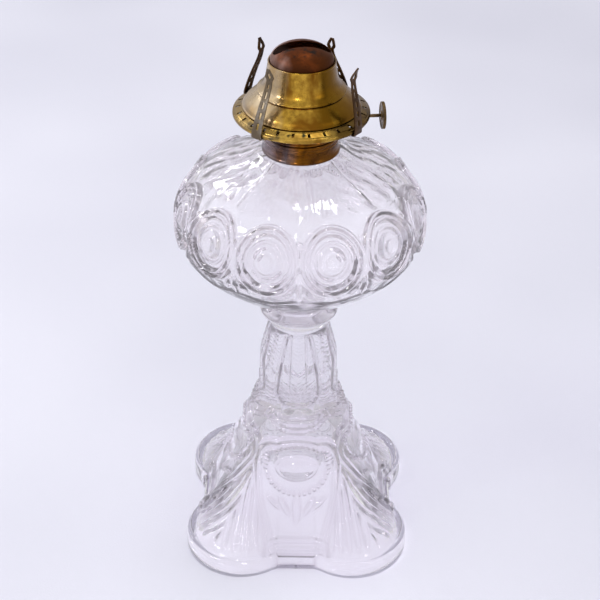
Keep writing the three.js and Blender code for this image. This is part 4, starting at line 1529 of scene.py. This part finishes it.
@dataclass
class Collar:
    """The brass collar cemented on the reservoir, and the screw ring that turns into it."""

    foot: float = 278.5
    top: float = 289.4
    radius: float = 22.1
    thread_radius: float = 15.9
    sheet: float = 0.6
    pitch: float = 1.8
    thread_depth: float = 0.35
    ring_depth: float = 8.5
    ring_lip: float = 3.6
    gap: float = 0.3

    def thread(self, radius: float, low: float, high: float, depth: float) -> list[Pair]:
        """The wavy line of a rolled thread, from low to high.

        Args:
            radius: Radius of the crests.
            low: Where the thread starts.
            high: Where it ends.
            depth: How far the roots lie from the crests; negative for a root further out.

        Returns:
            Points of radius and height.
        """
        count = max(int((high - low) / self.pitch * 4), 4)
        heights = np.linspace(low, high, count + 1)
        return [
            (radius - depth * (0.5 - 0.5 * math.cos(FULL_TURN * (h - low) / self.pitch)), h)
            for h in heights
        ]

    def build(self, finishes: Finishes) -> None:
        """Turns both pieces and dresses them.

        Args:
            finishes: The lamp's finishes.
        """
        r, low, top = self.radius, self.foot, self.top
        inside = r - self.sheet
        outer = [
            (r + 0.2, low), (r + 0.75, low), (r + 0.8, low + 0.7), (r + 0.3, low + 1.3),
            (r - 0.15, low + 1.9), (r - 0.25, low + 4.4), (r - 0.1, low + 6.6),
            (r + 0.1, low + 7.6), (r - 0.25, low + 8.1), (r + 0.05, low + 8.7),
            (r + 0.1, top - 1.0), (r - 0.3, top - 0.2), (r - 0.9, top),
            (self.thread_radius + 0.5, top), (self.thread_radius, top - 0.5),
        ]
        tube = self.thread_radius + self.sheet
        inner = self.thread(self.thread_radius, low + 1.6, top - 1.0, -self.thread_depth)[::-1]
        back = [(tube + 0.3, low + 1.6), (tube + 0.3, top - self.sheet), (inside, top - self.sheet),
                (inside - 0.2, low + 2.0)]
        piece = Bench.turned("cemented_collar", [*outer, *inner, *back, outer[0]], 160)
        Bench.smooth(piece, 50)
        dress(piece, finishes.bronze, Body.LAMP, "brass_collar")
        outer_radius = self.thread_radius - self.gap
        lip = outer_radius + self.ring_lip
        wall = outer_radius - self.sheet * 2
        threads = self.thread(outer_radius, -self.ring_depth, -0.9, self.thread_depth)
        line = [(wall, -self.ring_depth), *threads, (outer_radius - 0.1, 0.0), (lip - 0.2, 0.0),
                (lip, 0.2), (lip, self.sheet - 0.1), (lip - 0.3, self.sheet), (wall, self.sheet)]
        ring = Bench.turned("threaded_screw_ring", [*line, line[0]], 128)
        Bench.screw_down(ring)
        Bench.smooth(ring, 50)
        dress(ring, finishes.brass, Body.SCREW_RING, "screw_ring")
        repaint("collar_cement", finishes.plaster)


@dataclass
class BurnerBase:
    """The cup on the collar and the pierced basket that spreads from it to the brim."""

    cup_radius: float = 21.9
    cup_height: float = 7.5
    sheet: float = 0.6
    basket_foot: float = 7.8
    basket_rim: float = 10.7
    basket_radius: float = 37.3
    hole_columns: int = 72
    # Its rings as shares of the slope, and the rows of holes between them as radius from and to
    ring_shares: tuple[float, ...] = (0.0, 0.10, 0.34, 0.42, 0.66, 0.74, 0.93, 1.0)
    hole_rows: tuple[Pair, ...] = ((24.2, 27.6), (28.8, 32.2), (33.3, 36.2))
    hole_edge: float = 0.28
    prong_clearance: float = 8.0  # degrees beside a prong without holes
    shaft_height: float = 9.7
    shaft_offset: float = 4.9
    shaft_clearance: float = 1.6

    def cup(self) -> Piece:
        """Turns the cup with its beads and waist.

        Returns:
            The cup.
        """
        r, top, inner = self.cup_radius, self.cup_height, self.cup_radius - self.sheet
        line = [
            (r - 0.35, 0.0), (r, 0.1), (r + 0.1, 0.55), (r - 0.1, 1.0), (r - 0.45, 1.35),
            (r - 0.55, 2.0), (r - 0.5, 4.6), (r - 0.3, 5.8), (r - 0.05, 6.5), (r, 7.1),
            (r - 0.25, top), (inner - 0.5, top), (inner - 0.7, 5.6), (inner - 0.7, 1.9),
            (inner - 1.4, 1.5), (15.3, 1.5), (15.3, 0.9), (inner - 1.0, 0.9), (inner - 0.6, 0.5),
        ]
        return Bench.turned("burner_base_cup", [*line, line[0]], 160)

    def basket(self) -> Piece:
        """Turns the basket, pierces its holes and gives it its thickness.

        Returns:
            The basket, with its outer face where the CAD's underside lies.
        """
        inner = self.cup_radius - self.sheet * 2
        bend = self.cup_radius + self.sheet
        slope = [(bend + (self.basket_radius - bend) * share,
                  self.basket_foot + (self.basket_rim - self.basket_foot) * share)
                 for share in self.ring_shares]
        line = [(inner, self.basket_foot), (bend - 0.5, self.basket_foot), *slope]
        piece = Bench.turned("pierced_air_basket", line, self.hole_columns)
        Bench.select(piece, "FACE", self.pierced)
        bpy.ops.mesh.inset(thickness=self.hole_edge * MM, use_individual=True)
        bpy.ops.mesh.delete(type="FACE")
        Bench.close()
        Bench.finish_with(piece, "SOLIDIFY", thickness=self.sheet * MM, offset=-1)
        Bench.finish_with(piece, "SUBSURF", levels=1, render_levels=1)
        return piece

    def pierced(self, face: bpy.types.MeshPolygon) -> bool:
        """Picks the faces of the basket that become holes.

        Args:
            face: A face of the basket.

        Returns:
            Whether it becomes a hole.
        """
        centre = face.center
        reach = math.hypot(centre.x, centre.y) / MM
        row = next((index for index, (low, high) in enumerate(self.hole_rows)
                    if low < reach < high), None)
        if row is None:
            return False
        pitch = FULL_TURN / self.hole_columns
        column = int(round(math.atan2(centre.x, -centre.y) / pitch - 0.5))
        from_corner = abs(math.degrees(math.atan2(abs(centre.x), abs(centre.y))) - 45)
        near_prong = from_corner < self.prong_clearance
        return column % 2 == row % 2 and not (near_prong and row > 0)

    def build(self, finishes: Finishes) -> None:
        """Builds both pieces and dresses them.

        Args:
            finishes: The lamp's finishes.
        """
        cup = self.cup()
        Bench.screw_down(cup)
        Bench.smooth(cup, 50)
        dress(cup, finishes.bronze, Body.BURNER, "burner_cup")
        basket = self.basket()
        clear = self.shaft_cutter()
        Bench.carve(basket, clear)
        Bench.screw_down(basket)
        Bench.smooth(basket, 50)
        dress(basket, finishes.brim, Body.BURNER, "air_basket")
        repaint("tube_plate", finishes.brass)

    def shaft_cutter(self) -> Piece:
        """The bar that clears the basket for the wick shaft.

        Returns:
            The bar.
        """
        Bench.clear()
        bpy.ops.mesh.primitive_cylinder_add(
            vertices=24, radius=self.shaft_clearance * MM, depth=26 * MM,
            location=(35 * MM, -self.shaft_offset * MM, self.shaft_height * MM),
            rotation=(0, math.pi / 2, 0))
        return Bench.named("shaft_clearance")


@dataclass
class Gallery:
    """The sloping brim that seats the chimney, with its rolled edge and slots."""

    radius: float = 39.6
    roll_foot: float = 11.0
    roll: float = 2.4
    rise: float = 3.3
    inner: float = 31.8
    sheet: float = 0.6
    slots: int = 26
    slot_width: float = 1.5
    slot_length: float = 3.0
    slot_reach: float = 36.2

    def build(self, finishes: Finishes) -> None:
        """Turns the brim, cuts its slots and dresses it.

        Args:
            finishes: The lamp's finishes.
        """
        r, low, roll = self.radius, self.roll_foot, self.roll
        top = low + roll
        cone = r - 0.43
        face = [
            (r - 1.56, low), (r - 0.75, low), (r - 0.2, low + 0.35), (r, low + 0.9),
            (r, low + 1.5), (r - 0.15, low + 2.0), (cone - 0.15, top + 0.05),
            (cone - 0.9, top + 0.25), (cone - 1.3, top + 0.75), (cone - 1.8, top + 1.05),
            (34.7, top + 1.95), (34.3, top + 2.45), (33.8, top + 2.55),
            (self.inner, top + self.rise),
        ]
        piece = Bench.turned("chimney_brim", sheet_outline(face, self.sheet, 0.15), 208)
        slope = math.atan2(self.rise, cone - self.inner)
        cutters = []
        for index in range(self.slots):
            turn = index / self.slots * FULL_TURN
            Bench.clear()
            bpy.ops.mesh.primitive_cube_add(
                size=1, location=(0, 0, 0),
                scale=(self.slot_width * MM, self.slot_length * MM, 3 * MM))
            cutter = Bench.named("slot_cutter")
            cutter.rotation_euler = (slope, 0, 0)
            cutter.location = (0, -self.slot_reach * MM, (top + 1.33) * MM)
            Bench.settle(cutter)
            cutter.rotation_euler = (0, 0, turn)
            Bench.settle(cutter)
            cutters.append(cutter)
        Bench.clear()
        for cutter in cutters:
            cutter.select_set(True)
        bpy.context.view_layer.objects.active = cutters[0]
        bpy.ops.object.join()
        Bench.carve(piece, cutters[0])
        Bench.screw_down(piece)
        Bench.smooth(piece, 45)
        dress(piece, finishes.brim, Body.BURNER, "gallery_brim")


@dataclass
class Deflector:
    """The draught skirt, the flared sleeve and the dome with its flame slot."""

    skirt_foot: float = 16.55
    skirt_height: float = 9.4
    sleeve_foot: float = 26.25
    sleeve_height: float = 17.7
    dome_rise: float = 9.8
    dome_tuck: float = 6.0
    rim_radius: float = 19.3
    sheet: float = 0.6
    slot_length: float = 33.0
    slot_width: float = 9.0

    def build(self, finishes: Finishes) -> None:
        """Builds the three pieces and dresses them.

        Args:
            finishes: The lamp's finishes.
        """
        low, rise = self.skirt_foot, self.skirt_height
        skirt_face = [(34.0, low), (34.05, low + 0.35), (33.6, low + 0.75), (33.3, low + 1.0)]
        skirt_face += [tuple(point) for point in flowing(
            [(33.2, low + 1.3), (32.2, low + 3.0), (29.5, low + 5.5), (26.8, low + 7.8),
             (25.3, low + 8.9), (24.6, low + rise)], 16)]
        skirt = Bench.turned("draught_bell", sheet_outline(skirt_face, self.sheet, 0.1), 192)
        low, rise, rim = self.sleeve_foot, self.sleeve_height, self.rim_radius
        sleeve_face = [(25.7, low), (25.75, low + 0.5), (25.35, low + 0.95), (25.0, low + 1.15)]
        sleeve_face += [tuple(point) for point in flowing(
            [(24.9, low + 1.3), (24.2, low + 1.9), (22.5, low + 3.7), (20.9, low + 7.2),
             (20.1, low + 11.2), (19.5, low + 15.0), (rim, low + rise - 1.2)], 22)]
        sleeve_face += [(rim + 0.1, low + rise - 0.6), (rim - 0.15, low + rise)]
        sleeve = Bench.turned(
            "deflector_sleeve_shell", sheet_outline(sleeve_face, self.sheet, 0.1), 192)
        dome = self.dome()
        for piece, finish, slot, node in (
                (skirt, finishes.brass, Slot.BRASS, "draught_skirt"),
                (sleeve, finishes.brass, Slot.BRASS, "deflector_sleeve"),
                (dome, finishes.heated, Slot.HEATED, "deflector_dome")):
            Bench.screw_down(piece)
            Bench.smooth(piece, 45)
            dress(piece, finish, Body.BURNER, node)

    def dome(self) -> Piece:
        """Turns the dome, gives it its thickness and opens its flame slot.

        Returns:
            The dome.
        """
        rim = self.rim_radius - self.sheet - 0.6
        top = self.sleeve_foot + self.sleeve_height
        line = [(rim, top - self.dome_tuck), (rim, top - 0.5)]
        line += [(rim * math.cos(a), top + self.dome_rise * math.sin(a))
                 for a in np.linspace(0, math.pi / 2 - 0.06, 14)]
        line += [(0, top + self.dome_rise)]
        piece = Bench.turned("domed_deflector_cap", line, 128)
        Bench.finish_with(piece, "SOLIDIFY", thickness=self.sheet * MM, offset=-1)
        Bench.clear()
        bpy.ops.mesh.primitive_cylinder_add(
            vertices=48, radius=self.slot_width / 2 * MM, depth=12 * MM,
            location=(0, 0, (top + 6.3) * MM))
        cutter = Bench.named("slot_cutter")
        half = (self.slot_length - self.slot_width) / 2 * MM
        for sign in (1, -1):
            Bench.select(cutter, "VERT", lambda vertex: vertex.co.x * sign > -1e-6)
            bpy.ops.transform.translate(value=(sign * half, 0, 0))
            bpy.ops.object.mode_set(mode="OBJECT")
        Bench.carve(piece, cutter)
        return piece


@dataclass
class WickWorks:
    """The wick, its tube, and the shaft that winds it."""

    wick_width: float = 24.4
    wick_thickness: float = 2.0
    wick_low: float = -9.9
    wick_high: float = 41.95
    wick_edge: float = 0.7
    frayed: float = 0.8  # how far down its end is frayed
    fray: float = 0.25
    shaft_radius: float = 1.0
    shaft_offset: float = 4.9
    shaft_height: float = 9.7
    shaft_reach: float = 47.4
    shaft_tail: float = 13.6
    thumb_radius: float = 7.9
    thumb_thickness: float = 1.7
    # Steps of its face from the rim to the boss, as width and height
    thumb_steps: tuple[Pair, ...] = (
        (0.9, 0.0), (0.35, -0.3), (3.9, 0.0), (0.2, 0.7), (0.25, 0.0),
    )
    knurls: int = 48
    knurl_edge: float = 0.05
    knurl_depth: float = 0.3

    def wick(self) -> Piece:
        """A flat woven strip with rounded edges and a ragged upper end.

        Returns:
            The wick.
        """
        Bench.clear()
        middle = (self.wick_low + self.wick_high) / 2
        bpy.ops.mesh.primitive_cube_add(
            size=1, location=(0, 0, middle * MM),
            scale=(self.wick_width * MM, self.wick_thickness * MM,
                   (self.wick_high - self.wick_low) * MM))
        piece = Bench.named("woven_wick")
        Bench.ease(piece, self.wick_edge, 3)
        Bench.open(piece)
        bpy.ops.mesh.subdivide(number_cuts=3)
        bpy.ops.object.mode_set(mode="OBJECT")
        end = (self.wick_high - self.frayed) * MM
        Bench.select(piece, "VERT", lambda vertex: vertex.co.z > end)
        bpy.ops.transform.vertex_random(offset=self.fray * MM, seed=5)
        bpy.ops.object.mode_set(mode="OBJECT")
        return piece

    def shaft(self) -> Piece:
        """The shaft, with eased ends.

        Returns:
            The shaft.
        """
        Bench.clear()
        length = self.shaft_reach + self.shaft_tail
        bpy.ops.mesh.primitive_cylinder_add(
            vertices=28, radius=self.shaft_radius * MM, depth=length * MM,
            location=((self.shaft_reach - self.shaft_tail) / 2 * MM, -self.shaft_offset * MM,
                      self.shaft_height * MM),
            rotation=(0, math.pi / 2, 0))
        piece = Bench.named("wick_shaft_rod")
        Bench.ease(piece, 0.25, 2)
        return piece

    def thumbwheel(self) -> Piece:
        """The knurled wheel with a dished face and a boss.

        Returns:
            The wheel.
        """
        Bench.clear()
        bpy.ops.mesh.primitive_cylinder_add(
            vertices=self.knurls * 2, radius=self.thumb_radius * MM,
            depth=self.thumb_thickness * MM)
        piece = Bench.named("knurled_thumbwheel")
        Bench.select(piece, "FACE", lambda face: abs(face.normal.z) > 0.9)
        for width, rise in self.thumb_steps:
            bpy.ops.mesh.inset(thickness=width * MM, depth=rise * MM, use_individual=True)
        bpy.ops.object.mode_set(mode="OBJECT")
        pitch = math.pi / self.knurls
        Bench.select(piece, "FACE", lambda face: abs(face.normal.z) < 0.1
                     and math.hypot(face.center.x, face.center.y) > self.thumb_radius * 0.97 * MM
                     and int(math.floor(math.atan2(face.center.y, face.center.x) / pitch)) % 2 == 0)
        bpy.ops.mesh.inset(
            thickness=self.knurl_edge * MM, depth=-self.knurl_depth * MM, use_individual=True)
        bpy.ops.object.mode_set(mode="OBJECT")
        Bench.ease(piece, 0.12, 2, 50)
        piece.rotation_euler = (0, math.pi / 2, 0)
        piece.location = ((self.shaft_reach - self.thumb_thickness / 2) * MM,
                          -self.shaft_offset * MM, self.shaft_height * MM)
        Bench.settle(piece)
        return piece

    def build(self, finishes: Finishes) -> None:
        """Builds the pieces and dresses them.

        Args:
            finishes: The lamp's finishes.
        """
        for piece, finish, body, slot, node in (
                (self.wick(), finishes.cotton, Body.WICK, Slot.COTTON, "wick"),
                (self.shaft(), finishes.knob, Body.WICK_DRIVE, Slot.TARNISHED, "wick_shaft"),
                (self.thumbwheel(), finishes.knob, Body.WICK_DRIVE, Slot.TARNISHED, "thumbwheel")):
            Bench.screw_down(piece)
            Bench.smooth(piece, 40)
            dress(piece, finish, body, node)
        for name in ("wick_tube", "wheel_cage"):
            repaint(name, finishes.brass)
        for name in ("wick_wheel_left", "wick_wheel_right"):
            repaint(name, finishes.knob)


@dataclass
class Prongs:
    """The four pierced spring strips that hold the chimney."""

    thickness: float = 0.8
    height: float = 38.0
    lean: float = 9.6
    tab: float = 6.4
    basket_radius: float = 37.3
    brim_radius: float = 39.6
    roll_foot: float = 11.0
    roll: float = 2.4
    gap: float = 0.3
    bends: tuple[float, ...] = (4.0, -10.0, 7.0, 2.0)
    arm_shares: tuple[Pair, ...] = (
        (0.02, 0.08), (0.2, 0.24), (0.52, 0.46), (0.82, 0.64), (0.99, 0.78), (0.98, 0.88),
        (0.84, 1.0),
    )
    rows: int = 110
    # Half widths by share of the height above the rolled edge
    edges: tuple[Pair, ...] = (
        (-1.0, 2.9), (-0.25, 3.4), (0.1, 3.3), (0.4, 2.7), (0.7, 2.1), (0.77, 1.9), (0.80, 1.9),
        (0.825, 2.6), (0.85, 3.0), (0.875, 2.7), (0.92, 2.1), (0.95, 1.4), (0.975, 1.1),
        (1.0, 0.9), (1.02, 0.5),
    )
    # Slots as shares of the height from and to, and half of their width
    slots: tuple[tuple[float, float, float], ...] = (
        (0.12, 0.21, 0.75), (0.27, 0.35, 0.75), (0.41, 0.49, 0.7), (0.55, 0.63, 0.65),
        (0.68, 0.74, 0.55),
    )
    diamond: tuple[float, float, float] = (0.815, 0.935, 1.15)
    slot_run: float = 0.012  # share of the height by which a slot's edges run on
    tab_half: float = 2.9
    least_half: float = 0.35  # half width of the middle strip where nothing is pierced
    basket_rise: float = 2.9
    cup_edge: float = 22.5

    def line(self, bend: float) -> np.ndarray:
        """The middle line of a strip, from its tab up to its tip.

        Args:
            bend: Degrees that the strip is bent in.

        Returns:
            Rows of radius and height.
        """
        slope = math.atan2(self.basket_rise, self.basket_radius - self.cup_edge)
        drop = (self.gap + self.thickness / 2) / math.cos(slope)
        end = self.basket_radius - self.tab
        under = self.roll_foot - self.gap - drop
        clear = self.brim_radius + self.gap + self.thickness / 2
        shank = [
            (end, under - self.tab * math.tan(slope)),
            (self.basket_radius - 0.6, under - 0.15), (clear - 1.0, under + 0.1),
            (clear - 0.15, under + 0.7), (clear, self.roll_foot + self.roll / 2),
        ]
        turn = math.radians(bend)
        arm = []
        for lean, climb in self.arm_shares:
            inward = lean * self.lean
            rise = climb * self.height - self.roll / 2
            arm.append((
                clear - inward * math.cos(turn) - rise * math.sin(turn),
                self.roll_foot + self.roll / 2 + rise * math.cos(turn) - inward * math.sin(turn)))
        return flowing([*shank, *arm], self.rows)

    def strip(self, name: str, bend: float) -> Piece:
        """Models one strip at the front of the burner.

        Args:
            name: The strip's name.
            bend: Degrees that it is bent in.

        Returns:
            The strip, before it is turned to its place.
        """
        line = self.line(bend)
        climb = (line[:, 1] - self.roll_foot) / self.height
        on_tab = np.arange(self.rows) < int(np.argmax(line[:, 0] > self.brim_radius))
        half = np.interp(climb, *zip(*self.edges))
        half = np.where(on_tab, self.tab_half, half)
        hole = np.full(self.rows, self.least_half)
        for low, high, width in self.slots:
            near = (climb > low - self.slot_run) & (climb < high + self.slot_run)
            hole = np.where(near, width, hole)
        low, high, width = self.diamond
        share = np.clip((climb - low) / (high - low), 0, 1)
        gem = width * np.interp(share, [0, 0.4, 1], [0.06, 1, 0.06])
        hole = np.where((climb > low) & (climb < high), gem, hole)
        piece, column, row = Bench.sheet(name, 3, self.rows - 1)
        across = np.choose(column, [-half[row], -hole[row], hole[row], half[row]])
        Bench.put(piece, np.column_stack([across, -line[row, 0], line[row, 1]]))
        Bench.select(piece, "FACE", self.pierced)
        bpy.ops.mesh.delete(type="FACE")
        Bench.close()
        Bench.finish_with(piece, "SOLIDIFY", thickness=self.thickness * MM, offset=0)
        Bench.ease(piece, 0.14, 2, 40)
        return piece

    def pierced(self, face: bpy.types.MeshPolygon) -> bool:
        """Picks the faces of a strip that become openings.

        Args:
            face: A face of the strip.

        Returns:
            Whether it becomes part of an opening.
        """
        share = (face.center.z / MM - self.roll_foot) / self.height
        gaps = [*self.slots, self.diamond]
        return abs(face.center.x) < 0.02 * MM and any(low < share < high for low, high, _ in gaps)

    def build(self, finishes: Finishes) -> None:
        """Builds the four strips and dresses them.

        Args:
            finishes: The lamp's finishes.
        """
        places = (Body.PRONG_FRONT_LEFT, Body.PRONG_FRONT_RIGHT, Body.PRONG_BACK_RIGHT,
                  Body.PRONG_BACK_LEFT)
        for index, (body, bend) in enumerate(zip(places, self.bends)):
            node = body.value
            strip = self.strip(f"spring_{node}", bend)
            strip.rotation_euler = (0, 0, math.radians(-45 + index * 90))
            Bench.settle(strip)
            Bench.screw_down(strip)
            Bench.smooth(strip, 40)
            # The front-left prong faces the light and gets the paler copy as a painted reflection;
            # the others get the darker one, partly tarnish and partly painted shade.
            faces_light = body is Body.PRONG_FRONT_LEFT
            finish = finishes.painted_lit_strip if faces_light else finishes.tarnished_shaded_strip
            dress(strip, finish, body, node)
            repaint(f"prong_rivet_{node.removeprefix('prong_')}", finishes.brim)


# ---- the studio


@dataclass
class Studio:
    """The pale floor, the soft lights and the camera of the photograph."""

    camera_place: tuple[float, float, float] = (0.57, -695.76, 644.99)
    camera_down: float = 34.284
    camera_roll: float = 0.7145
    lens: float = 80.388
    sensor: float = 36.0
    floor_size: float = 14.0  # metres
    floor_tones: tuple[tuple[float, Colour], ...] = (
        (0.35, (0.735, 0.735, 0.81)), (0.65, (0.84, 0.84, 0.91)),
    )
    aim: tuple[float, float, float] = (0, 0, 0.17)  # what the lights look at, in metres
    # Soft lights as name, place and size in metres, watts and colour
    lamps: tuple[tuple, ...] = (
        ("left_window", (-1.2, -0.5, 1.3), (0.24, 0.34), 6, (1.0, 0.99, 1.0)),
        ("left_cloth", (-1.5, 0.6, 1.4), (1.2, 1.2), 3, (0.97, 0.98, 1.0)),
        ("overhead_lamp", (0.25, 0.35, 1.9), (0.3, 0.3), 4, (0.98, 0.98, 1.0)),
        ("front_lamp", (-0.4, -1.5, 1.6), (0.24, 0.24), 2.6, (1.0, 1.0, 1.0)),
        ("back_lamp", (-0.9, 1.0, 1.2), (0.24, 0.24), 2.4, (0.98, 0.99, 1.0)),
        ("right_fill", (1.3, -0.9, 1.1), (0.16, 0.24), 1.5, (1.0, 0.96, 0.93)),
    )
    # The room's glow from the horizon up
    glow: tuple[tuple[float, Colour], ...] = (
        (0.0, (0.98, 0.95, 0.99)), (0.35, (0.97, 0.96, 1.0)), (0.9, (0.80, 0.80, 0.86)),
    )
    glow_strength: float = 0.76

    def camera(self) -> None:
        """Sets up the camera."""
        data = bpy.data.cameras.new("photograph_camera")
        data.lens = self.lens
        data.sensor_width = self.sensor
        data.clip_start = 0.01
        camera = bpy.data.objects.new("photograph_camera", data)
        bpy.context.scene.collection.objects.link(camera)
        down = Matrix.Rotation(math.radians(90 - self.camera_down), 4, "X")
        roll = Matrix.Rotation(math.radians(self.camera_roll), 4, "Z")
        camera.matrix_world = Matrix.Translation(Vector(self.camera_place) * MM) @ down @ roll
        bpy.context.scene.camera = camera

    def floor(self) -> None:
        """Lays the plain pale floor."""
        Bench.clear()
        bpy.ops.mesh.primitive_plane_add(size=self.floor_size, location=(0, 0, 0))
        floor = Bench.named("pale_floor")
        nodes = Nodes("pale_floor_cloth")
        colour = nodes.ramp(nodes.noise(2.2, 2), self.floor_tones)
        normal = nodes.bump(nodes.noise(700, 4), 0.4, 0.35)
        cloth = nodes.add("ShaderNodeBsdfPrincipled", Base_Color=colour, Normal=normal)
        cloth.inputs["Roughness"].default_value = 0.9
        cloth.inputs["Specular IOR Level"].default_value = 0.2
        floor.data.materials.append(nodes.skin(cloth))

    def light(self, name: str, place: Sequence[float], size: Sequence[float], power: float,
              colour: Sequence[float]) -> None:
        """Hangs a soft light that looks at the lamp's middle.

        Args:
            name: The light's name.
            place: Its place in metres.
            size: Its width and height in metres.
            power: Its power in watts.
            colour: Its colour.
        """
        data = bpy.data.lights.new(name, "AREA")
        data.shape = "RECTANGLE"
        data.size, data.size_y = size
        data.energy = power
        data.color = colour
        light = bpy.data.objects.new(name, data)
        bpy.context.scene.collection.objects.link(light)
        light.location = place
        aim = Vector(self.aim) - Vector(place)
        light.rotation_euler = aim.to_track_quat("-Z", "Y").to_euler()

    def lights(self) -> None:
        """Hangs the lights and fills the room with a soft glow."""
        for lamp in self.lamps:
            self.light(*lamp)
        world = bpy.data.worlds.new("soft_room")
        bpy.context.scene.world = world
        world.use_nodes = True
        tree = world.node_tree
        tree.nodes.clear()
        place = tree.nodes.new("ShaderNodeTexCoord")
        split = tree.nodes.new("ShaderNodeSeparateXYZ")
        ramp = tree.nodes.new("ShaderNodeValToRGB")
        glow = tree.nodes.new("ShaderNodeBackground")
        output = tree.nodes.new("ShaderNodeOutputWorld")
        tree.links.new(place.outputs["Generated"], split.inputs[0])
        tree.links.new(split.outputs["Z"], ramp.inputs["Fac"])
        tree.links.new(ramp.outputs["Color"], glow.inputs["Color"])
        tree.links.new(glow.outputs[0], output.inputs["Surface"])
        stops = ramp.color_ramp.elements
        stops.new(self.glow[1][0])
        for stop, (position, colour) in zip(stops, self.glow):
            stop.position = position
            stop.color = (*colour, 1)
        glow.inputs["Strength"].default_value = self.glow_strength

    def build(self) -> None:
        """Sets up the whole studio."""
        self.camera()
        self.floor()
        self.lights()
        scene = bpy.context.scene
        scene.view_settings.view_transform = "Standard"
        scene.cycles.max_bounces = 24
        scene.cycles.transmission_bounces = 20
        scene.cycles.transparent_max_bounces = 24


def main() -> None:
    """Builds the lamp from the floor up and reports each piece."""
    logging.basicConfig(level=logging.INFO, format="%(message)s")
    Studio().build()
    finishes = Finishes()
    for assembly in (Stand(), Reservoir(), Collar(), BurnerBase(), Gallery(), Deflector(),
                     WickWorks(), Prongs()):
        log.info("building %s", type(assembly).__name__)
        assembly.build(finishes)


if __name__ == "__main__":
    main()
